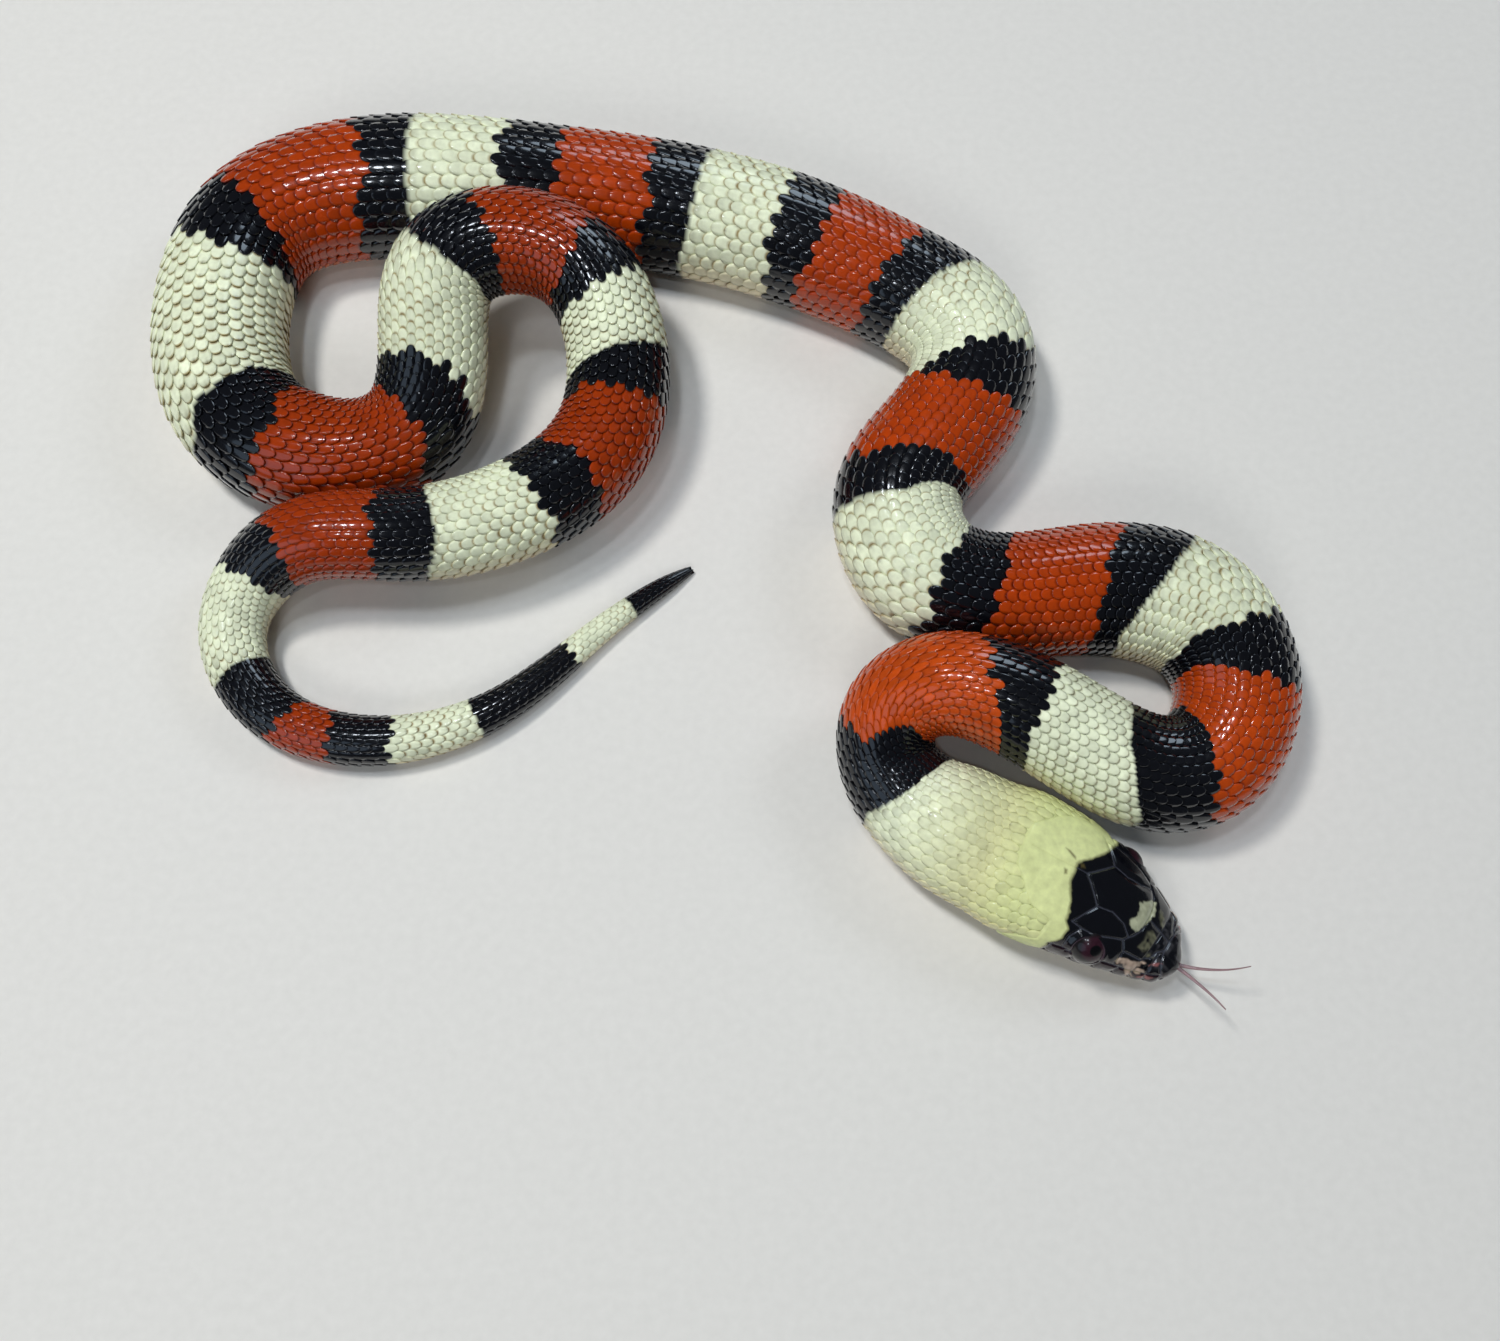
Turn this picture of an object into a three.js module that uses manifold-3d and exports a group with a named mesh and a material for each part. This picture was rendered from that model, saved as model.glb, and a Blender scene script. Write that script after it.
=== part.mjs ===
// A life-size still model of a young milk snake, lying in loose bends on the ground.
// Millimetres, +Z up, ground at Z 0. The line of the body is called the route, and a place on it is
// given by the distance s from a point just ahead of the snout, whose tip is at SNOUT. Round the body
// an angle is counted in degrees from the crown, 0, past the flank, 90, to the middle of the belly,
// 180, and is positive on the animal's right side.

import * as THREE from 'three';
import { mergeVertices } from 'three/addons/utils/BufferGeometryUtils.js';
import Module from 'manifold-3d';

const wasm = await Module();
wasm.setup();

// Points that steer the route from the snout to the tip of the tail: x, y and height of the belly
// over the ground. It rises where the neck leans on the next length of the body and where the hind
// loop climbs on the lengths under it.
const ROUTE = [
  [50.8, -49.1, 3], [49.3, -48.8, 1.5], [43.6, -43.6, 1.2], [33.4, -38.0, 1.1], [25.0, -34.3, 0],
  [19.6, -28.2, 0.5], [20.1, -21.8, 4.3], [26.9, -19.5, 7.3], [36.9, -23.3, 4.4], [47.6, -30.0, 0.7],
  [56.2, -28.8, 0], [60.6, -19.1, 0], [56.5, -9.8, 0], [45.5, -6.9, 0], [32.0, -9.5, 0],
  [23.5, -6.0, 0], [21.0, 4.2, 0], [27.3, 10.8, 0], [32.5, 18.1, 0], [31.9, 26.2, 0], [23.2, 32.1, 0],
  [9.2, 39.3, 0], [-8.9, 43.9, 0], [-28.6, 45.4, 0], [-45.5, 45.4, 0], [-55.7, 41.2, 0],
  [-58.7, 31.0, 0], [-57.7, 18.0, 0], [-51.7, 10.2, 0], [-40.7, 8.3, 0.1], [-32.9, 12.1, 0.5],
  [-31.3, 20.0, 3.8], [-31.6, 28.0, 9.1], [-25.4, 32.6, 10.1], [-14.8, 32.1, 8.9], [-9.6, 23.5, 4.7],
  [-9.8, 10.6, 1.8], [-18.6, 1.7, 2.8], [-31.6, -3.1, 4.1], [-43.7, -1.9, 6.1], [-51.8, -5.6, 1.3],
  [-54.6, -13.3, 0.2], [-48.5, -22.9, 0], [-35.5, -25.7, 0], [-22.0, -21.3, 0], [-11.7, -10.3, 0],
  [-0.8, -2.8, 0],
];

// Half width of the body along the route: a blunt round snout, broad jaws, a slender neck, and a long
// even taper from the middle of the body to the tip of the tail.
const SNOUT = 0.9;
const HALF_WIDTH = [
  [SNOUT, 0.35], [1.2, 1.55], [1.8, 3.1], [2.8, 4], [4.2, 4.75], [6.5, 5.7], [9.5, 6.75], [13, 7.3],
  [16.5, 7.9], [20, 8.05], [24, 7.5], [28, 7.15], [34, 6], [40, 5.4], [62, 6.1], [90, 6.8], [106, 7.8],
  [122, 7.2], [138, 7.5], [175, 7.5],
  [195, 7.9], [217, 8.1], [240, 8.7], [262, 7.9], [280, 7.8], [294, 7.2], [306, 6.4], [332, 6.3],
  [346, 5.9], [362, 6.1], [408, 4.7], [420, 3.7], [444, 2.8], [468, 1.7], [480, 1.1], [485, 0.35],
];

// Height of the crown over the widest line and depth of the belly under it, as shares of the half
// width. The head and nape are low and broad, the body is nearly round.
const CROWN_SHARE = [
  [0, 0.75], [2, 0.62], [5, 0.6], [9, 0.61], [18, 0.62], [23, 0.69], [30, 0.86], [36, 0.92],
];
const BELLY_SHARE = [
  [0, 0.6], [2, 0.5], [5, 0.46], [9, 0.48], [13, 0.52], [18, 0.55], [23, 0.62], [30, 0.76], [36, 0.8],
];

// The outline across the body is a rounded arch over the widest line, flatter on the head, and a
// squarer bowl under it, whose overshoot is cut off to make the flat of the belly.
const CROWN_SQUARENESS = [[0, 2.2], [11, 2.25], [20, 2.05], [30, 2]];
const BELLY_SQUARENESS = 2.6;
const BELLY_OVERSHOOT = 1.05;

// Lift of the front of the snout, which brings its tip to the middle of the head's height.
const SNOUT_LIFT = [[SNOUT, 1.3], [1.2, 1], [1.8, 0.5], [2.8, 0.2], [4.2, 0]];

// Lean of the head to its left, in degrees, which fades out along the neck.
const HEAD_LEAN = [[0, 22], [7, 21], [13, 14], [19, 9], [40, 0]];

// The lengths that the animal is divided into: the head, the neck, the lengths of the body and the
// tail, which starts at the vent. Each ends where the next one starts, GAP apart.
const HEAD_END = 21.5;
const LENGTHS = [
  ['neck', 62], ['body_1', 117], ['body_2', 151], ['body_3', 181], ['body_4', 213], ['body_5', 243],
  ['body_6', 273], ['body_7', 319], ['body_8', 355], ['body_9', 394], ['body_10', 427],
  ['tail_base', 456], ['tail_tip', 485],
];
const GAP = 0.3;
const BODY_SIDES = 18;
const HEAD_SIDES = 30;
const GROUND_SNAP = 0.04;

// Belly scutes: broad plates that lap over each other towards the tail, here fewer than the real
// ones. Each rises by SCUTE_STEP from its sunk front edge to its free rear edge, except on the flat
// of the belly, which bears on the ground. They reach from SCUTE_FLAT to SCUTE_REACH degrees to each
// side of its middle, and are thinner where the body's half width is under SLENDER.
const SCUTE_PITCH = 4.4;
const SCUTE_STEP = 0.26;
const SCUTE_LAP = 0.3;
const SCUTE_FLAT = 20;
const SCUTE_REACH = 55;
const SLENDER = 5;

// Head: the plates stand PLATE_RISE over the skin between them and are SEAM apart. Behind them the
// skin rises to the neck over SKIN_END_RUN. A cut that opens outwards starts CLEAR over the surface.
const SKIN_SINK = 0.2;
const SKIN_END_RUN = 1.5;
const PLATE_RISE = 0.24;
const PLATE_ROOT = 0.4;
const SEAM = 0.22;
const MOUTH_WIDTH = 0.3;
const MOUTH_DEPTH = 0.65;
const MOUTH_END_DEPTH = 0.35;
const CLEAR = 0.6;
const MOUTH_FRONT = 1.35;
const MOUTH_CORNER = 18.6;
const EYE = { s: 10.15, angle: 68, radius: 2.1, sunk: 1.4 };
const NOSTRIL = { s: 3.2, angle: 60, radius: 0.3, depth: 0.8 };

// Tongue: a short stem out of the notch in the upper lip, and two tines that part at the lip. The
// ends of the tines are measured forward, to the animal's left and towards the crown from the notch.
const TONGUE = {
  root: 1.6, stem: 0.9, radius: 0.3, tip: 0.12, sides: 8, steps: 7, notch: 0.68,
  ends: [[7.1, 2.8, 2.4], [6.9, -1.7, -0.2]],
};

const COLOURS = {
  black: 0x12141d, cream: 0xd9dcbb, red: 0xb0401f, eye: 0x3a1410, tongue: 0x8d5a5c,
};

// A smooth curve through rows of [place, value] that never overshoots them.
function profile(rows) {
  const width = (i) => rows[i + 1][0] - rows[i][0];
  const slope = (i) => (rows[i + 1][1] - rows[i][1]) / width(i);
  const steepness = rows.map((row, i) => {
    if (i === 0) return slope(0);
    if (i === rows.length - 1) return slope(i - 1);
    const before = slope(i - 1);
    const after = slope(i);
    if (before * after <= 0) return 0;
    const nearBefore = 2 * width(i) + width(i - 1);
    const nearAfter = width(i) + 2 * width(i - 1);
    return (nearBefore + nearAfter) / (nearBefore / before + nearAfter / after);
  });
  return (place) => {
    const last = rows.length - 1;
    if (place <= rows[0][0]) return rows[0][1];
    if (place >= rows[last][0]) return rows[last][1];
    let i = 0;
    while (rows[i + 1][0] < place) i += 1;
    const w = width(i);
    const u = (place - rows[i][0]) / w;
    return rows[i][1] * (1 + 2 * u) * (1 - u) ** 2 + steepness[i] * w * u * (1 - u) ** 2
      + rows[i + 1][1] * u * u * (3 - 2 * u) + steepness[i + 1] * w * u * u * (u - 1);
  };
}

const halfWidth = profile(HALF_WIDTH);
const crownShare = profile(CROWN_SHARE);
const bellyShare = profile(BELLY_SHARE);
const crownSquareness = profile(CROWN_SQUARENESS);
const headLean = profile(HEAD_LEAN);
const snoutLift = profile(SNOUT_LIFT);

// The route is a uniform cubic B-spline that starts and ends in its first and last point.
function splinePoint(t) {
  const points = ROUTE.map((point) => new THREE.Vector3(...point));
  const last = points.length - 1;
  const at = (i) => {
    if (i < 0) return points[0].clone().multiplyScalar(2).sub(points[1]);
    if (i > last) return points[last].clone().multiplyScalar(2).sub(points[last - 1]);
    return points[i].clone();
  };
  const i = Math.min(Math.floor(t), last - 1);
  const u = t - i;
  return at(i - 1).multiplyScalar((1 - u) ** 3 / 6)
    .add(at(i).multiplyScalar((3 * u ** 3 - 6 * u * u + 4) / 6))
    .add(at(i + 1).multiplyScalar((-3 * u ** 3 + 3 * u * u + 3 * u + 1) / 6))
    .add(at(i + 2).multiplyScalar(u ** 3 / 6));
}

// Distances along the route, measured once in short steps.
const STEPS_PER_POINT = 60;
const routeSteps = [];
const routeLengths = [0];
for (let k = 0; k <= (ROUTE.length - 1) * STEPS_PER_POINT; k += 1) {
  routeSteps.push(splinePoint(k / STEPS_PER_POINT));
  if (k > 0) routeLengths.push(routeLengths[k - 1] + routeSteps[k].distanceTo(routeSteps[k - 1]));
}
const ROUTE_LENGTH = routeLengths[routeLengths.length - 1];

function routePoint(s) {
  const last = routeLengths.length - 1;
  let low = 0;
  let high = last;
  while (high - low > 1) {
    const middle = Math.floor((low + high) / 2);
    if (routeLengths[middle] <= s) low = middle;
    else high = middle;
  }
  const share = (s - routeLengths[low]) / (routeLengths[high] - routeLengths[low]);
  return routeSteps[low].clone().lerp(routeSteps[high], share);
}

// The axis of the body runs through the widest line, over the belly.
function axisPoint(s) {
  const point = routePoint(s);
  point.z += halfWidth(s) * bellyShare(s) + snoutLift(s);
  return point;
}

// Along the body towards the tail, to its right and to its crown, all square to each other.
const SHORT = 0.25;
function directions(s) {
  const along = axisPoint(s + SHORT).sub(axisPoint(s - SHORT)).normalize();
  const right = new THREE.Vector3(0, 0, 1).cross(along).normalize();
  const crown = along.clone().cross(right);
  const lean = THREE.MathUtils.degToRad(headLean(s));
  return {
    along,
    right: right.clone().multiplyScalar(Math.cos(lean)).addScaledVector(crown, Math.sin(lean)),
    crown: crown.clone().multiplyScalar(Math.cos(lean)).addScaledVector(right, -Math.sin(lean)),
  };
}

// A point of the smooth outer surface at a place on the route and an angle round it.
function outerPoint(s, degrees) {
  const angle = THREE.MathUtils.degToRad(degrees);
  const up = Math.cos(angle);
  const aside = Math.sin(angle);
  const reach = halfWidth(s);
  const square = up >= 0 ? crownSquareness(s) : BELLY_SQUARENESS;
  const x = Math.sign(aside) * Math.abs(aside) ** (2 / square) * reach;
  const depth = reach * bellyShare(s);
  const z = up >= 0 ? up ** (2 / square) * reach * crownShare(s)
    : Math.max(-depth, -BELLY_OVERSHOOT * depth * Math.abs(up) ** (2 / square));
  const { right, crown } = directions(s);
  return axisPoint(s).addScaledVector(right, x).addScaledVector(crown, z);
}

// The same point moved out of the surface by a small rise, or into it where the rise is negative.
function raisedPoint(s, degrees, rise) {
  const place = Math.max(s, SNOUT + 0.02);
  const before = outerPoint(Math.max(place - 0.05, SNOUT), degrees);
  const along = outerPoint(place + 0.05, degrees).sub(before);
  const around = outerPoint(place, degrees + 1).sub(outerPoint(place, degrees - 1));
  const outward = along.cross(around).normalize();
  return outerPoint(place, degrees).addScaledVector(outward, rise);
}

// Triangles between rows of points, each row closed round on itself, with both ends filled.
function loft(rows) {
  const sides = rows[0].length;
  const corners = rows.flat();
  const faces = [];
  for (let k = 0; k + 1 < rows.length; k += 1) {
    for (let j = 0; j < sides; j += 1) {
      const a = k * sides + j;
      const b = k * sides + (j + 1) % sides;
      faces.push([a, b, a + sides], [b, b + sides, a + sides]);
    }
  }
  for (const [start, turn] of [[0, false], [(rows.length - 1) * sides, true]]) {
    const middle = corners.length;
    const centre = new THREE.Vector3();
    for (let j = 0; j < sides; j += 1) centre.addScaledVector(corners[start + j], 1 / sides);
    corners.push(centre);
    for (let j = 0; j < sides; j += 1) {
      const a = start + j;
      const b = start + (j + 1) % sides;
      faces.push(turn ? [a, b, middle] : [b, a, middle]);
    }
  }
  return closedGeometry(corners, faces);
}

// A geometry of corners and faces, turned right side out.
function closedGeometry(corners, faces) {
  let volume = 0;
  for (const [a, b, c] of faces) {
    volume += corners[a].dot(corners[b].clone().cross(corners[c]));
  }
  const geometry = new THREE.BufferGeometry();
  geometry.setAttribute('position', new THREE.Float32BufferAttribute(
    corners.flatMap((corner) => corner.toArray()), 3));
  geometry.setIndex(faces.flatMap(([a, b, c]) => (volume > 0 ? [a, b, c] : [a, c, b])));
  return geometry;
}

// A solid for joining and cutting, and the geometry of what comes out of that.
function solid(geometry) {
  const bare = geometry.clone();
  bare.deleteAttribute('normal');
  bare.deleteAttribute('uv');
  const merged = mergeVertices(bare, 1e-4);
  return new wasm.Manifold(new wasm.Mesh({
    numProp: 3,
    vertProperties: Float32Array.from(merged.attributes.position.array),
    triVerts: Uint32Array.from(merged.index.array),
  }));
}

// Joining leaves slivers where faces nearly meet. Each edge shorter than SHORT_EDGE is closed up where
// that takes away just the two triangles beside it.
const SHORT_EDGE = 0.012;

function closeShortEdges(corners, faces) {
  const around = corners.map(() => new Set());
  faces.forEach((face) => face.forEach((corner) => around[corner].add(face)));
  const next = (corner) => new Set([...around[corner]].flat().filter((other) => other !== corner));
  for (let closed = true; closed;) {
    closed = false;
    for (let a = 0; a < corners.length; a += 1) {
      for (const b of next(a)) {
        const shared = [...next(a)].filter((corner) => next(b).has(corner));
        if (corners[a].distanceTo(corners[b]) > SHORT_EDGE || shared.length !== 2) continue;
        for (const face of [...around[b]]) {
          face.forEach((corner) => around[corner].delete(face));
          if (face.includes(a)) face.length = 0;
          else face.splice(face.indexOf(b), 1, a);
          face.forEach((corner) => around[corner].add(face));
        }
        closed = true;
        break;
      }
    }
  }
  return faces.filter((face) => face.length === 3);
}

function solidGeometry(body) {
  const largest = body.decompose().sort((a, b) => b.volume() - a.volume())[0];
  const mesh = largest.getMesh();
  const corners = [];
  for (let i = 0; i < mesh.vertProperties.length; i += 3) {
    corners.push(new THREE.Vector3().fromArray(mesh.vertProperties, i));
  }
  const faces = [];
  for (let i = 0; i < mesh.triVerts.length; i += 3) faces.push([...mesh.triVerts.slice(i, i + 3)]);
  return closedGeometry(corners, closeShortEdges(corners, faces));
}

// One length of the body as rings of points between two places on the route, two rings for each
// belly scute.
function bodyLength(start, end) {
  const count = Math.max(2, Math.round((end - start) / SCUTE_PITCH));
  const pitch = (end - start) / count;
  const rows = [];
  const addRing = (s, sunk) => rows.push(Array.from({ length: BODY_SIDES }, (_, j) => {
    const angle = ((j + 0.5) * 360) / BODY_SIDES;
    const fromBelly = Math.abs(angle - 180);
    const onFlank = fromBelly > SCUTE_FLAT && fromBelly < SCUTE_REACH;
    const step = SCUTE_STEP * Math.min(1, halfWidth(s) / SLENDER);
    const point = raisedPoint(s, angle, sunk && onFlank ? -step : 0);
    if (point.z < GROUND_SNAP) point.z = 0;
    return point;
  }));
  for (let k = 0; k < count; k += 1) {
    addRing(start + k * pitch + (k > 0 ? SCUTE_LAP / 2 : 0), true);
    addRing(start + (k + 1) * pitch - (k + 1 < count ? SCUTE_LAP / 2 : 0), false);
  }
  return loft(rows);
}

// The skin of the head between its plates, with closer rings towards the snout.
const HEAD_RINGS = [
  0.92, 1.05, 1.25, 1.55, 2, 2.6, 3.4, 4.6, 5.9, 7.4, 9, 10.6, 12.4, 14.3, 16.2, 18.2, 20, 21.35,
];

function headSkin() {
  return loft(HEAD_RINGS.map((s) => Array.from({ length: HEAD_SIDES }, (_, j) => {
    const share = Math.min(1, (HEAD_RINGS[HEAD_RINGS.length - 1] - s) / SKIN_END_RUN);
    return raisedPoint(s, ((j + 0.5) * 360) / HEAD_SIDES, -SKIN_SINK * share);
  })));
}

// A plate of the head between a front edge and a rear edge and any edges between them, each given as
// [s, angle, s, angle] from one side of the plate to the other. side is 1 on the animal's right and
// -1 on its left.
function plate(edges, side = 1) {
  const PATCH = 1.5;
  const gap = SEAM / 2;
  const lines = edges.map(([s1, angle1, s2, angle2], k) => {
    const shift = k === 0 ? gap : k === edges.length - 1 ? -gap : 0;
    const turn = THREE.MathUtils.radToDeg(gap / Math.max(0.8, halfWidth((s1 + s2) / 2) * 0.8));
    const narrow = Math.min(turn, Math.abs(angle2 - angle1) * 0.4) * Math.sign(angle2 - angle1);
    return [s1 + shift, angle1 + narrow, s2 + shift, angle2 - narrow];
  });
  const spread = Math.max(...lines.map(([s, angle1, , angle2]) => (
    Math.abs(THREE.MathUtils.degToRad(angle2 - angle1)) * halfWidth(s) * 0.8)));
  const across = Math.max(1, Math.round(spread / PATCH));
  const rows = [];
  for (let k = 0; k + 1 < lines.length; k += 1) {
    const reach = Math.abs(lines[k + 1][0] + lines[k + 1][2] - lines[k][0] - lines[k][2]) / 2;
    const parts = Math.max(1, Math.round(reach / PATCH));
    for (let i = k === 0 ? 0 : 1; i <= parts; i += 1) {
      rows.push(lines[k].map((value, n) => value + ((lines[k + 1][n] - value) * i) / parts));
    }
  }
  const grid = (rise) => rows.flatMap(([s1, angle1, s2, angle2]) => (
    Array.from({ length: across + 1 }, (_, j) => {
      const share = j / across;
      return raisedPoint(s1 + (s2 - s1) * share, side * (angle1 + (angle2 - angle1) * share), rise);
    })));
  const top = grid(PLATE_RISE - SKIN_SINK);
  const root = grid(-PLATE_ROOT - SKIN_SINK);
  const stride = across + 1;
  const faces = [];
  for (let k = 0; k + 1 < rows.length; k += 1) {
    for (let j = 0; j < across; j += 1) {
      const a = k * stride + j;
      faces.push([a, a + 1, a + stride], [a + 1, a + stride + 1, a + stride]);
      const b = a + top.length;
      faces.push([b, b + stride, b + 1], [b + 1, b + stride, b + stride + 1]);
    }
  }
  const rim = [];
  for (let j = 0; j < across; j += 1) rim.push(j);
  for (let k = 0; k + 1 < rows.length; k += 1) rim.push(k * stride + across);
  for (let j = across; j > 0; j -= 1) rim.push((rows.length - 1) * stride + j);
  for (let k = rows.length - 1; k > 0; k -= 1) rim.push(k * stride);
  rim.forEach((a, n) => {
    const b = rim[(n + 1) % rim.length];
    faces.push([a, a + top.length, b], [b, a + top.length, b + top.length]);
  });
  return closedGeometry([...top, ...root], faces);
}

// The line of the mouth runs from its corner on one side round the front of the snout to the other.
function mouthAngle(s) {
  return profile([[MOUTH_FRONT, 180], [1.45, 150], [1.8, 128], [2.7, 115], [5, 108], [10, 106],
    [15, 104], [MOUTH_CORNER, 99]])(s);
}

function mouthPlaces() {
  const rear = [MOUTH_CORNER, 16.8, 14.9, 13, 11, 9, 7, 5.3, 3.9, 2.9, 2.2, 1.75, 1.5, 1.4];
  const right = rear.map((s) => [s, mouthAngle(s)]);
  const left = right.map(([s, angle]) => [s, 360 - angle]).reverse();
  return [...right, [MOUTH_FRONT, 180], ...left];
}

// A thin curved blade that follows the line of the mouth and cuts the groove between the lips.
function mouthBlade() {
  const places = mouthPlaces();
  const surface = places.map(([s, angle]) => raisedPoint(s, angle, 0));
  const rows = places.map(([s, angle], k) => {
    const outward = raisedPoint(s, angle, 1).sub(surface[k]);
    const before = surface[Math.max(k - 1, 0)];
    const after = surface[Math.min(k + 1, surface.length - 1)];
    const across = outward.clone().cross(after.clone().sub(before)).normalize();
    const depth = k === 0 || k === places.length - 1 ? MOUTH_END_DEPTH : MOUTH_DEPTH;
    return [[CLEAR, -1], [CLEAR, 1], [-depth, 1], [-depth, -1]].map(([rise, way]) => (
      surface[k].clone().addScaledVector(outward, rise)
        .addScaledVector(across, (way * MOUTH_WIDTH) / 2)));
  });
  return loft(rows);
}

function ball(centre, radius, around, over) {
  const geometry = new THREE.SphereGeometry(radius, around, over);
  geometry.rotateX(Math.PI / 2);
  return geometry.translate(centre.x, centre.y, centre.z);
}

function eyeCentre(side) {
  return raisedPoint(EYE.s, side * EYE.angle, -EYE.sunk);
}

// A round pin between two points, for the nostrils and the notch of the tongue.
function pin(from, to, radius, sides) {
  const reach = to.clone().sub(from);
  const geometry = new THREE.CylinderGeometry(radius, radius, reach.length(), sides);
  geometry.applyQuaternion(new THREE.Quaternion().setFromUnitVectors(
    new THREE.Vector3(0, 1, 0), reach.clone().normalize()));
  const middle = from.clone().lerp(to, 0.5);
  return geometry.translate(middle.x, middle.y, middle.z);
}

// Plates on the middle of the head, each one piece from side to side.
const FRONTAL = [
  [6.5, -26, 6.5, 26], [7.4, -31, 7.4, 31], [8.7, -21, 8.7, 21], [11.6, -18, 11.6, 18],
  [14.3, -1, 14.3, 1],
];
const ROSTRAL = [
  [0.95, -104, 1.6, -104], [0.95, -72, 1.75, -72], [0.95, -38, 2.2, -38], [0.95, -16, 2.6, -16],
  [0.95, 16, 2.6, 16], [0.95, 38, 2.2, 38], [0.95, 72, 1.75, 72], [0.95, 104, 1.6, 104],
];
const MENTAL = [[1.6, 146, 1.6, 214], [2.3, 154, 2.3, 206], [3, 176, 3, 184]];

// Plates that come in pairs, given for the right side: the internasal, prefrontal, supraocular and
// parietal on the crown, the nasal, loreal and preocular before the eye, two postoculars and the
// temporals behind it, and two chin shields.
const PAIRED = [
  [[2.7, 0, 2.7, 15], [3.4, 0, 3.4, 34], [4.3, 0, 4.3, 47]],
  [[4.3, 0, 4.3, 49], [5.6, 0, 5.6, 49], [6.3, 0, 6.9, 49]],
  [[7.5, 32, 7.7, 38], [8.7, 21, 8.7, 41], [10.1, 18, 10.1, 45], [11.9, 18, 13.1, 44]],
  [[12.2, 18, 13.4, 42], [14.4, 1, 15.2, 47], [17.6, 0, 17.6, 42], [20.4, 0, 20.1, 18]],
  [[2.3, 38, 1.8, 78], [3.4, 36, 3, 78], [4.3, 50, 4.3, 78]],
  [[4.3, 50, 4.3, 78], [6.9, 51, 6.9, 78]],
  [[6.9, 51, 6.9, 78], [7.8, 40, 7.8, 78], [8.5, 44, 8.5, 78]],
  [[12.1, 47, 12.3, 62], [13.9, 47, 13.9, 63]],
  [[12.3, 62, 12, 79], [13.9, 63, 13.9, 79]],
  [[14, 48, 13.9, 63], [17, 45, 17, 61]],
  [[13.9, 63, 13.9, 79], [17, 61, 17, 79]],
  [[17, 43, 17, 55], [20.4, 20, 20.4, 40]],
  [[17, 55, 17, 67], [20.4, 40, 20.4, 60]],
  [[17, 67, 17, 79], [20.4, 60, 20.4, 79]],
  [[3.1, 126, 3.1, 179], [8.2, 133, 8.2, 179]],
  [[8.2, 138, 8.2, 179], [13.2, 149, 13.2, 179]],
];

// The lips: a row of plates over the mouth and a row under it on each side.
const UPPER_LIP = [1.75, 2.8, 4.3, 6.1, 8.4, 11, 14, 18.2];
const LOWER_LIP = [1.9, 3, 4.5, 6.4, 8.8, 11.5, 14.6, 18.2];
const LIP_TOP = 79;
const LIP_HALF_GAP = 2.2;

function lipPlates() {
  const plates = [];
  for (let k = 0; k + 1 < UPPER_LIP.length; k += 1) {
    const [front, rear] = [UPPER_LIP[k], UPPER_LIP[k + 1]];
    plates.push([[front, LIP_TOP, front, mouthAngle(front) - LIP_HALF_GAP],
      [rear, LIP_TOP, rear, mouthAngle(rear) - LIP_HALF_GAP]]);
  }
  for (let k = 0; k + 1 < LOWER_LIP.length; k += 1) {
    const [front, rear] = [LOWER_LIP[k], LOWER_LIP[k + 1]];
    plates.push([[front, mouthAngle(front) + LIP_HALF_GAP, front, 146 - front * 1.1],
      [rear, mouthAngle(rear) + LIP_HALF_GAP, rear, 146 - rear * 1.1]]);
  }
  return plates;
}

// Where the stem of the tongue leaves the mouth, and the way it points.
const tongueNotch = raisedPoint(MOUTH_FRONT, 180, 0).lerp(outerPoint(SNOUT + 0.02, 180), 0.35);
const headWay = directions(2);
const forward = headWay.along.clone().negate();

function head() {
  let body = solid(headSkin());
  const plates = [plate(FRONTAL), plate(ROSTRAL), plate(MENTAL)];
  for (const side of [1, -1]) {
    for (const edges of [...PAIRED, ...lipPlates()]) plates.push(plate(edges, side));
  }
  for (const one of plates) body = body.add(solid(one));
  body = body.subtract(solid(mouthBlade()));
  for (const side of [1, -1]) {
    body = body.subtract(solid(ball(eyeCentre(side), EYE.radius + GAP, 24, 14)));
    const opening = raisedPoint(NOSTRIL.s, side * NOSTRIL.angle, CLEAR);
    const bottom = raisedPoint(NOSTRIL.s, side * NOSTRIL.angle, -NOSTRIL.depth);
    body = body.subtract(solid(pin(bottom, opening, NOSTRIL.radius, 10)));
  }
  const deep = tongueNotch.clone().addScaledVector(forward, -TONGUE.root - GAP);
  const free = tongueNotch.clone().addScaledVector(forward, 2);
  return solidGeometry(body.subtract(solid(pin(deep, free, TONGUE.notch, 12))));
}

// A tine of the tongue as rings along a bent line that thins to its end.
function tine(end) {
  const [ahead, left, up] = end;
  const place = (f, l, z) => tongueNotch.clone().addScaledVector(forward, f)
    .addScaledVector(headWay.right, -l).addScaledVector(headWay.crown, z);
  const line = new THREE.CatmullRomCurve3([
    place(-TONGUE.root, 0, 0), place(TONGUE.stem * 0.5, 0, 0),
    place(TONGUE.stem + ahead * 0.3, left * 0.28, up * 0.2),
    place(TONGUE.stem + ahead * 0.65, left * 0.66, up * 0.55), place(ahead, left, up),
  ]);
  const rows = [];
  for (let k = 0; k <= TONGUE.steps; k += 1) {
    const share = k / TONGUE.steps;
    const centre = line.getPointAt(share);
    const radius = TONGUE.radius + (TONGUE.tip - TONGUE.radius) * Math.max(0, share - 0.3) / 0.7;
    rows.push(Array.from({ length: TONGUE.sides }, (_, j) => {
      const turn = ((j + 0.5) * 2 * Math.PI) / TONGUE.sides;
      return centre.clone().addScaledVector(headWay.right, Math.cos(turn) * radius)
        .addScaledVector(headWay.crown, Math.sin(turn) * radius * 0.85);
    }));
  }
  return loft(rows);
}

function tongue() {
  const [left, right] = TONGUE.ends.map((end) => solid(tine(end)));
  return solidGeometry(left.add(right));
}

const snake = new THREE.Group();

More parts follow.
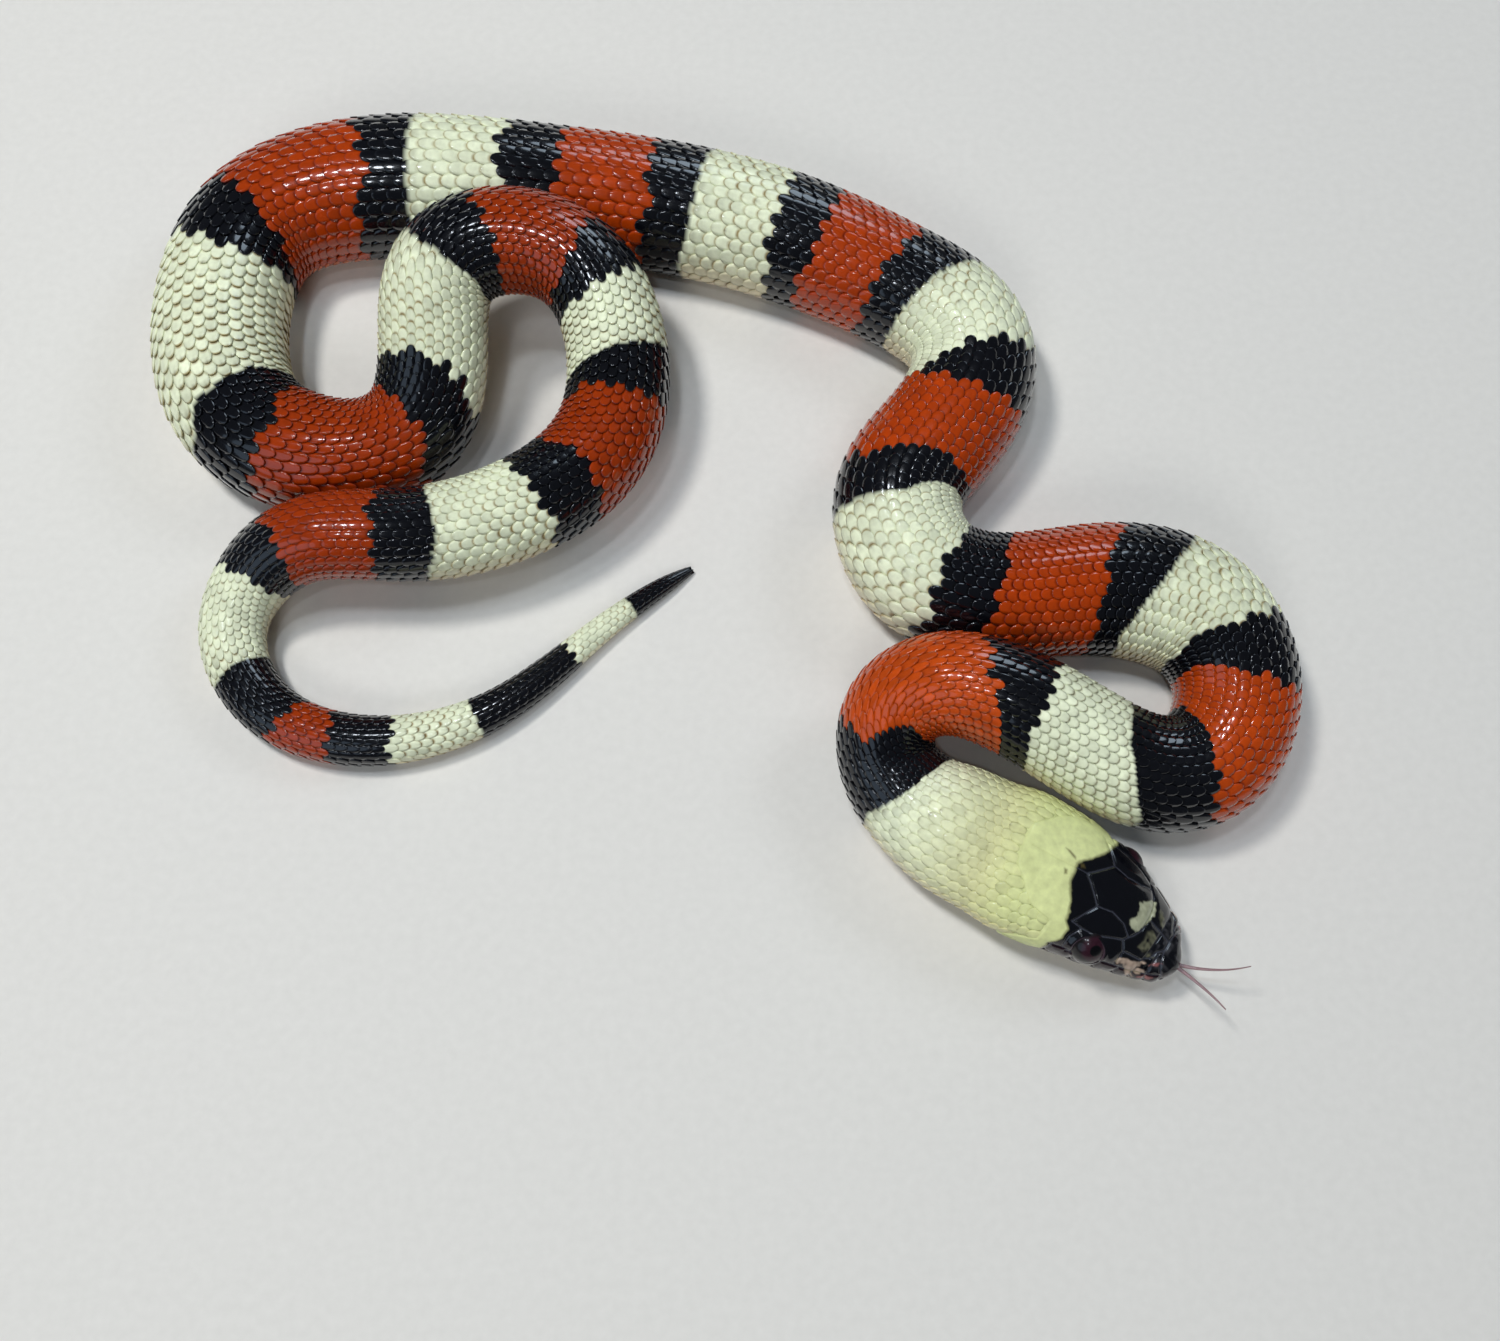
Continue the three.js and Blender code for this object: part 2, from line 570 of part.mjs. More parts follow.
function addNode(name, geometry, colour, roughness) {
  const material = new THREE.MeshStandardMaterial({ color: colour, roughness, metalness: 0 });
  const mesh = new THREE.Mesh(geometry, material);
  mesh.name = name;
  snake.add(mesh);
}

addNode('head', head(), COLOURS.black, 0.3);
addNode('eye_right', ball(eyeCentre(1), EYE.radius, 20, 12), COLOURS.eye, 0.1);
addNode('eye_left', ball(eyeCentre(-1), EYE.radius, 20, 12), COLOURS.eye, 0.1);
addNode('tongue', tongue(), COLOURS.tongue, 0.4);

let start = HEAD_END;
LENGTHS.forEach(([name, end], k) => {
  const last = k === LENGTHS.length - 1;
  const rear = last ? ROUTE_LENGTH - SHORT : end - GAP / 2;
  const colour = name === 'neck' ? COLOURS.cream : [COLOURS.red, COLOURS.cream, COLOURS.black][k % 3];
  addNode(name, bodyLength(start + GAP / 2, rear), colour, 0.35);
  start = end;
});

export default snake;
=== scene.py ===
from math import radians

import bmesh
import bpy
import numpy as np
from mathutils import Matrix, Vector, kdtree


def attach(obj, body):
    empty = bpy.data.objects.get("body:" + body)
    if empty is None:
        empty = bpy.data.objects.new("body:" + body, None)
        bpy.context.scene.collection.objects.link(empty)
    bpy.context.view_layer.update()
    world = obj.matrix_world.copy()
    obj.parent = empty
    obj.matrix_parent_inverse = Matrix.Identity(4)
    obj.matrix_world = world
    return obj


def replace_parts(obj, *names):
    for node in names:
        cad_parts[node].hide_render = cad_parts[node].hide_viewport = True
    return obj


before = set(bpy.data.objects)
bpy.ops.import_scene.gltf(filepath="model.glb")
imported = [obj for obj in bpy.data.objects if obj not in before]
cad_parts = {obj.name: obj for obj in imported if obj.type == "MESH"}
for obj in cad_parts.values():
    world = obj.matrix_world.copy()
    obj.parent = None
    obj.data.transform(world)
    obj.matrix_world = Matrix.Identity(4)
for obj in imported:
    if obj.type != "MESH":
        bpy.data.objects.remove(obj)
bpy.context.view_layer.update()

scene = bpy.context.scene
scene.view_settings.view_transform = "Standard"

# Camera: it looks down at 72 degrees from over the side of the head, as the photograph was taken.
# Its lens and place give the photograph's framing.
CAMERA_PLACE = (0.0054, -0.06535, 0.15312)
CAMERA_TILT = 18
LENS = 33.6
camera_data = bpy.data.cameras.new("camera")
camera_data.lens = LENS
camera_data.sensor_width = 36
camera_data.clip_start = 0.005
camera = bpy.data.objects.new("camera", camera_data)
camera.location = CAMERA_PLACE
camera.rotation_euler = (radians(CAMERA_TILT), 0, 0)
scene.collection.objects.link(camera)
scene.camera = camera

# Light: a weak daylight from all round, a soft lamp from the upper left, which throws the shadows to
# the right, weaker ones from the front and the right, and small lamps overhead. The small lamps, a
# window and the sky are what the horn mirrors, as glints and as a bluish sheen.
DAYLIGHT_COLOUR = (0.8, 0.9, 1.0, 1)
DAYLIGHT_STRENGTH = 0.07
world = bpy.data.worlds.new("daylight")
world.use_nodes = True
background = world.node_tree.nodes["Background"]
background.inputs["Color"].default_value = DAYLIGHT_COLOUR
background.inputs["Strength"].default_value = DAYLIGHT_STRENGTH
scene.world = world

# Each lamp has its way from the animal, its size and energy, its tint, whether it lights the animal and
# whether the horn mirrors it.
LAMPS = [
    ("softbox", (-0.43, 0.25, 1.0), 0.1, 1.75, (1.0, 0.97, 0.92), True, False),
    ("front", (-0.2, -0.9, 0.8), 0.2, 0.7, (1.0, 0.98, 0.95), True, False),
    ("fill", (0.9, 0.5, 0.9), 0.2, 0.5, (0.85, 0.92, 1.0), True, False),
    ("overhead", (-0.12, 0.04, 1.0), 0.06, 0.5, (0.85, 0.92, 1.0), True, True),
    ("overhead_left", (-0.34, 0.1, 1.0), 0.06, 0.35, (0.85, 0.92, 1.0), True, True),
    ("overhead_front", (-0.12, -0.33, 1.0), 0.04, 0.2, (0.85, 0.92, 1.0), True, True),
    ("window", (0.3, 0.85, 0.7), 0.25, 0.8, (0.7, 0.85, 1.0), False, True),
    ("sky", (-0.8, -0.7, 0.7), 0.5, 0.6, (0.6, 0.78, 1.0), False, True),
]
LAMP_DISTANCE = 0.6
for name, way, size, energy, tint, gives_light, mirrored in LAMPS:
    way = Vector(way).normalized()
    lamp_data = bpy.data.lights.new(name, "AREA")
    lamp_data.shape = "DISK"
    lamp_data.size = size
    lamp_data.energy = energy
    lamp_data.color = tint
    lamp = bpy.data.objects.new(name, lamp_data)
    lamp.location = way * LAMP_DISTANCE
    lamp.rotation_euler = way.to_track_quat("Z", "Y").to_euler()
    lamp.visible_diffuse = gives_light
    lamp.visible_glossy = mirrored
    scene.collection.objects.link(lamp)


# Materials: sums on the sockets of a shader are written as plain arithmetic.
class Wire:
    """An output socket of a material, with arithmetic, and any other node through node()."""

    def __init__(self, tree, socket):
        self.tree = tree
        self.socket = socket

    def node(self, kind, output=0, inputs=(), **settings):
        made = self.tree.nodes.new(kind)
        for name, value in settings.items():
            setattr(made, name, value)
        for name, value in dict(inputs).items():
            if isinstance(value, Wire):
                self.tree.links.new(value.socket, made.inputs[name])
            else:
                made.inputs[name].default_value = value
        return Wire(self.tree, made.outputs[output])

    def math(self, operation, other):
        return self.node("ShaderNodeMath", operation=operation, inputs={0: self, 1: other})

    def __add__(self, other):
        return self.math("ADD", other)

    def __sub__(self, other):
        return self.math("SUBTRACT", other)

    def __rsub__(self, other):
        return self.node("ShaderNodeMath", operation="SUBTRACT", inputs={0: other, 1: self})

    def __mul__(self, other):
        return self.math("MULTIPLY", other)

    def __pow__(self, other):
        return self.math("POWER", other)

    def steps(self, low, high, first=0.0, last=1.0):
        """A straight rise from first at low to last at high, held beyond both."""
        return self.node("ShaderNodeMapRange", 0, {0: self, 1: low, 2: high, 3: first, 4: last})

    def colours(self, share, first, second, blend_type="MIX"):
        """Two colours blended by a share."""
        return self.node("ShaderNodeMix", 2, {0: share, 6: first, 7: second}, data_type="RGBA",
                         blend_type=blend_type)


def new_material(name, **constants):
    """A Principled material with constant inputs, its start Wire and its shader node."""
    material = bpy.data.materials.new(name)
    material.use_nodes = True
    tree = material.node_tree
    shader = tree.nodes["Principled BSDF"]
    for socket, value in constants.items():
        shader.inputs[socket.replace("_", " ")].default_value = value
    return material, Wire(tree, None), shader


def plug(wire, shader, name):
    wire.tree.links.new(wire.socket, shader.inputs[name])


# Ground: a wide pale floor of plain card. It is the stage and no part of the animal.
CARD_DARK = (0.7, 0.695, 0.67, 1)
CARD_PALE = (0.78, 0.775, 0.75, 1)
ground_material, start, shader = new_material("card", Roughness=0.85)
coordinates = start.node("ShaderNodeTexCoord", "Object")
speckle = start.node("ShaderNodeTexNoise", 0, {"Vector": coordinates, "Scale": 900.0, "Detail": 4.0})
plug(start.colours(speckle, CARD_DARK, CARD_PALE), shader, "Base Color")
bpy.ops.mesh.primitive_plane_add(size=4)
ground = bpy.context.object
ground.name = "ground"
ground.data.materials.append(ground_material)

# Shape of the animal, in mm: the line of the body over the ground from the snout to the tail, with
# the height of the belly, and the width and height of the body along it. A place along it is s, and
# the snout is at SNOUT. An angle round it counts from the crown, and is positive to the animal's right.
ROUTE = [
    (50.8, -49.1, 3), (49.3, -48.8, 1.5), (43.6, -43.6, 1.2), (33.4, -38.0, 1.1), (25.0, -34.3, 0),
    (19.6, -28.2, 0.5), (20.1, -21.8, 4.3), (26.9, -19.5, 7.3), (36.9, -23.3, 4.4),
    (47.6, -30.0, 0.7), (56.2, -28.8, 0), (60.6, -19.1, 0), (56.5, -9.8, 0), (45.5, -6.9, 0),
    (32.0, -9.5, 0), (23.5, -6.0, 0), (21.0, 4.2, 0), (27.3, 10.8, 0), (32.5, 18.1, 0),
    (31.9, 26.2, 0), (23.2, 32.1, 0), (9.2, 39.3, 0), (-8.9, 43.9, 0), (-28.6, 45.4, 0),
    (-45.5, 45.4, 0), (-55.7, 41.2, 0), (-58.7, 31.0, 0), (-57.7, 18.0, 0), (-51.7, 10.2, 0),
    (-40.7, 8.3, 0.1), (-32.9, 12.1, 0.5), (-31.3, 20.0, 3.8), (-31.6, 28.0, 9.1),
    (-25.4, 32.6, 10.1), (-14.8, 32.1, 8.9), (-9.6, 23.5, 4.7), (-9.8, 10.6, 1.8),
    (-18.6, 1.7, 2.8), (-31.6, -3.1, 4.1), (-43.7, -1.9, 6.1), (-51.8, -5.6, 1.3),
    (-54.6, -13.3, 0.2), (-48.5, -22.9, 0), (-35.5, -25.7, 0), (-22.0, -21.3, 0),
    (-11.7, -10.3, 0), (-0.8, -2.8, 0),
]
SNOUT = 0.9
TAIL_END = 485.0
HALF_WIDTH = [
    (SNOUT, 0.35), (1.2, 1.55), (1.8, 3.1), (2.8, 4), (4.2, 4.75), (6.5, 5.7), (9.5, 6.75), (13, 7.3),
    (16.5, 7.9), (20, 8.05), (24, 7.5), (28, 7.15), (34, 6), (40, 5.4), (62, 6.1), (90, 6.8),
    (106, 7.8), (122, 7.2), (138, 7.5), (175, 7.5),
    (195, 7.9), (217, 8.1), (240, 8.7), (262, 7.9), (280, 7.8), (294, 7.2), (306, 6.4), (332, 6.3),
    (346, 5.9), (362, 6.1), (408, 4.7), (420, 3.7), (444, 2.8), (468, 1.7), (480, 1.1), (485, 0.35),
]
CROWN_SHARE = [
    (0, 0.75), (2, 0.62), (5, 0.6), (9, 0.61), (18, 0.62), (23, 0.69), (30, 0.86), (36, 0.92),
]
BELLY_SHARE = [
    (0, 0.6), (2, 0.5), (5, 0.46), (9, 0.48), (13, 0.52), (18, 0.55), (23, 0.62), (30, 0.76),
    (36, 0.8),
]
CROWN_SQUARENESS = [(0, 2.2), (11, 2.25), (20, 2.05), (30, 2)]
BELLY_SQUARENESS = 2.6
BELLY_OVERSHOOT = 1.05
HEAD_LEAN = [(0, 22), (7, 21), (13, 14), (19, 9), (40, 0)]
SNOUT_LIFT = [(SNOUT, 1.3), (1.2, 1), (1.8, 0.5), (2.8, 0.2), (4.2, 0)]


def profile(rows, places):
    """A smooth curve through rows of (place, value) that never overshoots them, at the places."""
    x, y = np.array(rows, float).T
    width = np.diff(x)
    slope = np.diff(y) / width
    before, after = slope[:-1], slope[1:]
    near_before = 2 * width[1:] + width[:-1]
    near_after = width[1:] + 2 * width[:-1]
    level = before * after <= 0
    safe_before = np.where(level, 1, before)
    safe_after = np.where(level, 1, after)
    inner = (near_before + near_after) / (near_before / safe_before + near_after / safe_after)
    steepness = np.concatenate([slope[:1], np.where(level, 0, inner), slope[-1:]])
    places = np.clip(places, x[0], x[-1])
    i = np.clip(np.searchsorted(x, places) - 1, 0, len(x) - 2)
    w = width[i]
    u = (places - x[i]) / w
    return (y[i] * (1 + 2 * u) * (1 - u) ** 2 + steepness[i] * w * u * (1 - u) ** 2
            + y[i + 1] * u * u * (3 - 2 * u) + steepness[i + 1] * w * u * u * (u - 1))


def spline(points, steps):
    """A uniform cubic B-spline that starts and ends in its first and last point."""
    points = np.array(points, float)
    padded = np.vstack([2 * points[0] - points[1], points, 2 * points[-1] - points[-2]])
    place = np.arange((len(points) - 1) * steps + 1) / steps
    i = np.minimum(place.astype(int), len(points) - 2)
    u = (place - i)[:, None]
    return (padded[i] * (1 - u) ** 3 + padded[i + 1] * (3 * u ** 3 - 6 * u ** 2 + 4)
            + padded[i + 2] * (-3 * u ** 3 + 3 * u ** 2 + 3 * u + 1) + padded[i + 3] * u ** 3) / 6


route_line = spline(ROUTE, 60)
route_steps = np.linalg.norm(np.diff(route_line, axis=0), axis=1)
route_places = np.concatenate([[0], np.cumsum(route_steps)])
BODY_LENGTH = route_places[-1]


def axis_points(s):
    """The middle of the body at the places s: over the belly, at the level of the widest line."""
    points = np.stack([np.interp(s, route_places, route_line[:, k]) for k in range(3)], axis=-1)
    points[..., 2] += profile(HALF_WIDTH, s) * profile(BELLY_SHARE, s) + profile(SNOUT_LIFT, s)
    return points


def unit(vectors):
    return vectors / np.maximum(np.linalg.norm(vectors, axis=-1, keepdims=True), 1e-12)


def directions(s):
    """Towards the tail, to the right and to the crown at the places s."""
    along = unit(axis_points(s + 0.25) - axis_points(s - 0.25))
    level = unit(np.cross((0, 0, 1), along))
    upright = np.cross(along, level)
    lean = np.radians(profile(HEAD_LEAN, s))[..., None]
    right = level * np.cos(lean) + upright * np.sin(lean)
    crown = upright * np.cos(lean) - level * np.sin(lean)
    return along, right, crown


# The surface is worked out once as a table. Its rows are places s, and its columns are girth places
# g, from -1 at the middle of the belly over the left flank, 0 at the crown and on to 1 at the belly.
ROW_PLACES = np.concatenate([np.arange(SNOUT, 3, 0.03), np.arange(3, 26, 0.1), np.arange(26, 484.7, 0.4)])
GIRTH_PLACES = np.linspace(-1, 1, 241)


def outline(s, angle):
    """Sideways and upward reach of the body's outline at the places s and angles."""
    reach = profile(HALF_WIDTH, s)
    up = np.cos(angle)
    square = np.where(up >= 0, profile(CROWN_SQUARENESS, s), BELLY_SQUARENESS)
    aside = np.abs(np.sin(angle)) ** (2 / square) * reach
    lift = np.abs(up) ** (2 / square) * reach
    depth = reach * profile(BELLY_SHARE, s)
    low = np.maximum(-depth, -BELLY_OVERSHOOT * lift * profile(BELLY_SHARE, s))
    return aside, np.where(up >= 0, lift * profile(CROWN_SHARE, s), low)


def surface_table():
    """Points, outward directions, angles and half girths of the surface at all rows and columns."""
    angles = np.radians(np.linspace(0, 180, 361))
    aside, lift = outline(ROW_PLACES[:, None], angles[None, :])
    steps = np.hypot(np.diff(aside, axis=1), np.diff(lift, axis=1))
    reached = np.concatenate([np.zeros((len(ROW_PLACES), 1)), np.cumsum(steps, axis=1)], axis=1)
    half_girth = reached[:, -1]
    share = reached / half_girth[:, None]
    wanted = np.abs(GIRTH_PLACES)
    angle = np.array([np.interp(wanted, row, angles) for row in share])
    x = np.array([np.interp(wanted, row, far) for row, far in zip(share, aside)])
    z = np.array([np.interp(wanted, row, high) for row, high in zip(share, lift)])
    side = np.sign(GIRTH_PLACES)
    _, right, crown = directions(ROW_PLACES)
    points = (axis_points(ROW_PLACES)[:, None] + right[:, None] * (x * side)[..., None]
              + crown[:, None] * z[..., None])
    down = np.gradient(points, ROW_PLACES, axis=0)
    around = np.gradient(points, GIRTH_PLACES, axis=1)
    outward = unit(np.cross(down, around))
    angle_share = np.linspace(0, 1, 181)
    girth_of_angle = np.array([np.interp(angle_share * np.pi, angles, row) for row in share])
    return points, outward, np.degrees(angle) * side, half_girth, girth_of_angle


surface_points, surface_outward, surface_angle, HALF_GIRTH, GIRTH_OF_ANGLE = surface_table()


def from_table(table, row, column):
    """A table read between its rows and columns."""
    i = np.clip(row.astype(int), 0, table.shape[0] - 2)
    j = np.clip(column.astype(int), 0, table.shape[1] - 2)
    u = row - i
    v = column - j
    if table.ndim == 3:
        u = u[..., None]
        v = v[..., None]
    near = table[i, j] * (1 - v) + table[i, j + 1] * v
    far = table[i + 1, j] * (1 - v) + table[i + 1, j + 1] * v
    return near * (1 - u) + far * u


def table_place(s, g):
    """The row and column of the table at the places s and g."""
    s, g = np.broadcast_arrays(s, g)
    row = np.interp(s, ROW_PLACES, np.arange(len(ROW_PLACES)))
    column = ((g + 1) % 2) / 2 * (len(GIRTH_PLACES) - 1)
    return row, column


def on_body(s, g, rise):
    """Points over the surface of the body by a rise, in mm."""
    row, column = table_place(s, g)
    outward = unit(from_table(surface_outward, row, column))
    return from_table(surface_points, row, column) + outward * np.asarray(rise)[..., None]


def angle_at(s, g):
    """The angle round the body, in degrees, at the places s and g."""
    return from_table(surface_angle, *table_place(s, g))


def girth_at(s, angle):
    """The girth place at the places s and angles in degrees."""
    s, angle = np.broadcast_arrays(np.asarray(s, float), np.asarray(angle, float))
    row = np.interp(s, ROW_PLACES, np.arange(len(ROW_PLACES)))
    return from_table(GIRTH_OF_ANGLE, row, np.abs(angle)) * np.sign(angle)


# Markings: rings of cream, black and red. Each edge is the colour behind it and its place s at a few
# angles round the body, because the rings lean and bend.
EDGES = [
    ("cream", {-65: 12.1, -46: 12.5, -27: 13.2, -17: 14.0, -10: 14.7, -5: 15.4, -2: 15.6, 11: 15.6,
               19: 15.2, 26: 14.7, 35: 14.4, 43: 14.2, 51: 13.5, 65: 13.5, 78: 14.3}),
    ("black", {-59: 33.1, 4: 33.7, 54: 34.7}),
    ("red", {-74: 40.7, -42: 45.0, -8: 43.4, 19: 41.7, 73: 41.9}),
    ("black", {-82: 58.7, -53: 57.2, -20: 55.4, 2: 54.0, 42: 53.6}),
    ("cream", {-92: 62.4, -45: 60.2, 3: 59.5, 62: 60.8}),
    ("black", {-75: 74.7, -37: 72.7, -16: 71.3, 0: 70.0, 26: 69.3, 46: 69.4}),
    ("red", {-41: 79.8, 0: 80.3, 27: 81.6, 60: 84.6}),
    ("black", {-47: 91.4, -3: 91.9, 31: 93.3, 56: 94.4, 83: 93.0}),
    ("cream", {-45: 97.0, -14: 97.9, 7: 98.0, 24: 98.7, 39: 100.2, 61: 99.6, 88: 98.5}),
    ("black", {-43: 105.0, 10: 107.1, 37: 109.3, 65: 111.3}), ("red", {-62: 110.3, 22: 113.9, 76: 115.1}),
    ("black", {-59: 122.3, 20: 125.5, 48: 126.1}), ("cream", {-48: 130.4, 5: 131.6, 64: 130.4}),
    ("black", {-54: 144.5, -5: 140.8, 72: 140.5}), ("red", {-35: 148.3, -6: 146.1, 47: 144.5}),
    ("black", {-30: 157.7, 9: 156.3, 51: 155.7}), ("cream", {-50: 163.4, 14: 162.5, 57: 156.1}),
    ("black", {-58: 170.6, 26: 173.7, 91: 175.1}), ("red", {-42: 177.4, 24: 179.0, 108: 179.4}),
    ("black", {-44: 187.4, 22: 187.8, 96: 188.6}), ("cream", {-55: 193.4, 18: 194.2, 93: 192.9}),
    ("black", {-49: 203.6, 25: 203.6, 97: 204.7}), ("red", {-36: 210.2, 27: 209.6, 85: 209.8}),
    ("black", {-54: 220.7, 31: 221.0}), ("cream", {-41: 228.0, 20: 227.8, 31: 226.9}),
    ("black", {-47: 238.7, 64: 238.7}), ("red", {-41: 245.7, 17: 243.9, 93: 246.2}),
    ("black", {-46: 260.1, 11: 259.5, 51: 261.5, 92: 265.7}),
    ("cream", {-59: 265.7, 22: 267.1, 75: 267.5}),
    ("black", {-54: 287.9, -27: 286.3, 32: 285.8, 64: 287.4}),
    ("red", {-57: 293.0, 8: 293.7, 40: 293.0}),
    ("black", {-87: 306.8, -36: 309.8, 33: 312.3}),
    ("cream", {-87: 312.5, -60: 314.9, -29: 317.1, 6: 318.4, 65: 317.3}),
    ("black", {-97: 327.3, -71: 329.6, -18: 328.8, 43: 328.6}),
    ("red", {-55: 335.2, -16: 334.4, 33: 333.9}), ("black", {-91: 346.9, -22: 344.4, 33: 343.5}),
    ("cream", {-76: 351.0, -1: 349.4, 65: 349.0}),
    ("black", {-70: 361.4, -39: 358.9, 7: 357.0, 67: 356.7}),
    ("red", {-57: 364.4, -31: 362.4, 71: 362.3}), ("black", {-48: 373.5, 9: 372.0, 56: 373.3}),
    ("cream", {-57: 379.5, 6: 378.9, 47: 378.7}), ("black", {-41: 390.3, 22: 389.7, 90: 391.2}),
    ("red", {-43: 396.2, 81: 396.4}), ("black", {-38: 407.0, 21: 405.5, 90: 407.4}),
    ("cream", {-41: 412.8, 27: 411.1, 70: 411.2}), ("black", {-44: 424.7, 13: 424.0, 74: 424.2}),
    ("red", {-28: 432.1, 14: 432.4, 80: 434.9}), ("black", {-50: 438.2, 37: 437.5}),
    ("cream", {-67: 444.2, 57: 444.7}), ("black", {-72: 453.8, 71: 453.9}),
    ("cream", {-90: 467.1, 33: 466.7}), ("black", {0: 475.7}),
]
BELLY_FROM = 105


def edge_place(edge, angle):
    """Where an edge crosses the angles. Under the belly its two ends are led together."""
    angles = sorted(edge[1])
    places = [edge[1][one] for one in angles]
    held = np.interp(np.clip(angle, -BELLY_FROM, BELLY_FROM), angles, places)
    middle = (places[0] + places[-1]) / 2
    under = np.clip((np.abs(angle) - BELLY_FROM) / (180 - BELLY_FROM), 0, 1)
    return held * (1 - under) + middle * under


def ring_at(s, angle):
    """The number of edges in front of the places, and how far the nearest edges are."""
    count = np.zeros(np.shape(s), int)
    since = np.full(np.shape(s), 99.0)
    until = np.full(np.shape(s), 99.0)
    for edge in EDGES:
        place = edge_place(edge, angle)
        behind = s >= place
        count += behind
        since = np.where(behind, np.minimum(since, s - place), since)
        until = np.where(behind, until, np.minimum(until, place - s))
    return count, since, until


def paint(red, green, blue):
    """A colour as a screen shows it, 0 to 255, as the light that it stands for."""
    share = np.array([red, green, blue]) / 255
    return np.where(share <= 0.04045, share / 12.92, ((share + 0.055) / 1.055) ** 2.4)


BLACK = paint(9, 10, 16)
CREAM = paint(228, 236, 207)
NAPE_CREAM = paint(216, 224, 162)
RED = paint(170, 58, 4)
NECK_RED = paint(188, 72, 14)
HIND_RED = paint(150, 49, 2)
OLIVE = paint(84, 74, 42)
TAN_AND_PINK_BOUNCE = paint(214, 190, 152)
KINDS = ["black"] + [edge[0] for edge in EDGES]
KIND_COLOURS = {"black": BLACK, "cream": CREAM, "red": RED}
RING_COLOURS = np.array([KIND_COLOURS[kind] for kind in KINDS])
IS_CREAM = np.array([kind == "cream" for kind in KINDS])
IS_RED = np.array([kind == "red" for kind in KINDS])


def mixed(first, second, share):
    share = np.clip(share, 0, 1)[..., None]
    return first * (1 - share) + second * share


def smooth(value, low, high):
    """0 below low, 1 over high and a smooth step between them."""
    share = np.clip((value - low) / (high - low), 0, 1)
    return share * share * (3 - 2 * share)


# Making a mesh from arrays of corners in mm and triangles, with its colours and its map for baking.
# The map unrolls the skin into three strips, one over the other, from snout to tail.
STRIPS = 3


def unrolled(s, g):
    """The place of s and g on the unrolled skin, 0 to 1 both ways."""
    along = np.clip(s / BODY_LENGTH, 0, 0.9999) * STRIPS
    strip = np.floor(along)
    return np.stack([0.01 + 0.98 * (along - strip), (strip + 0.5 + 0.48 * g) / STRIPS], axis=-1)


def mesh_piece(name, corners, triangles, colours, bake, material):
    """A smooth piece of the body. bake has one place on the map for each triangle's corner."""
    mesh = bpy.data.meshes.new(name)
    mesh.vertices.add(len(corners))
    mesh.vertices.foreach_set("co", (corners / 1000).astype(np.float32).ravel())
    mesh.loops.add(len(triangles) * 3)
    mesh.loops.foreach_set("vertex_index", triangles.astype(np.int32).ravel())
    mesh.polygons.add(len(triangles))
    mesh.polygons.foreach_set("loop_start", np.arange(0, len(triangles) * 3, 3, dtype=np.int32))
    mesh.update(calc_edges=True)
    mesh.validate()
    attribute = mesh.color_attributes.new("Markings", "FLOAT_COLOR", "POINT")
    rgba = np.concatenate([colours, np.ones((len(colours), 1))], axis=1)
    attribute.data.foreach_set("color", rgba.astype(np.float32).ravel())
    uv = mesh.uv_layers.new(name="OFBake")
    uv.data.foreach_set("uv", bake.astype(np.float32).ravel())
    mesh.polygons.foreach_set("use_smooth", np.ones(len(triangles), bool))
    mesh.materials.append(material)
    piece = bpy.data.objects.new(name, mesh)
    scene.collection.objects.link(piece)
    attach(piece, "root")
    return piece


# Horn: the clear glossy horn of the scales and plates over their colour, with faint mottling. Each
# scale has a darker rim at its free tip, partly its own tan and partly painted shade, with a faint
# painted bluish highlight on it, and painted shade in the seam behind the tips that lie on it.
# OVERLAP is the length of a scale over the pitch of its row, and HALF_SPAN half its width over the
# step between rows. Back and Aside say where on a scale a place is, from its widest line.
OVERLAP = 1.62
WIDEST = 0.42
HALF_SPAN = 0.6
ROUNDNESS = 2.3
SAME_ROW = 1 / OVERLAP / (1 - WIDEST)
NEXT_ROW = 1 / HALF_SPAN
# The seam tint is painted shade. The rim tint is partly tan and partly painted shade. The rim sheen is a
# painted bluish highlight.
SEAM_SHADE = (0.36, 0.24, 0.13, 1)
RIM_TINT = (0.5, 0.38, 0.22, 1)
RIM_SHEEN = (0.012, 0.014, 0.02, 1)


def edge_reach(back, aside):
    """How far out a place on a scale is, 1 at its round edge, by its places back and aside."""
    return (back.math("MAXIMUM", 0.0) ** ROUNDNESS + aside ** ROUNDNESS) ** (1 / ROUNDNESS)


def scale_seams(start, colour):
    """The colour of scales with painted shade in their seams, and rims that are partly tan and partly painted
    shade, with a painted bluish highlight; both follow the outline of the scales.
    """
    back = start.node("ShaderNodeAttribute", "Fac", attribute_name="Back")
    aside = start.node("ShaderNodeAttribute", "Fac", attribute_name="Aside")
    share = start.node("ShaderNodeAttribute", "Fac", attribute_name="Rim")
    in_front = edge_reach(back + SAME_ROW, aside)
    beside = edge_reach(back + SAME_ROW / 2, NEXT_ROW - aside)
    covered = in_front.math("MINIMUM", beside + 0.08).math("MINIMUM", (in_front + beside) * 0.5 - 0.05)
    near_tip = aside.steps(0.3, 0.85, 1.0, 0.35) * share
    # Painted shade in the seam just behind the tips that cover a scale, then the rim at its free tip:
    # darkened as partly tan and partly painted shade, and lit by a painted bluish highlight.
    seam = covered.steps(1.0, 1.2, 1.0, 0.0) * near_tip
    rim = edge_reach(back, aside).steps(0.86, 0.96) * back.steps(0.35, 0.75) * near_tip
    colour = start.colours(seam, colour, SEAM_SHADE, "MULTIPLY")
    colour = start.colours(rim, colour, RIM_TINT, "MULTIPLY")
    return start.colours(rim, colour, RIM_SHEEN, "ADD")


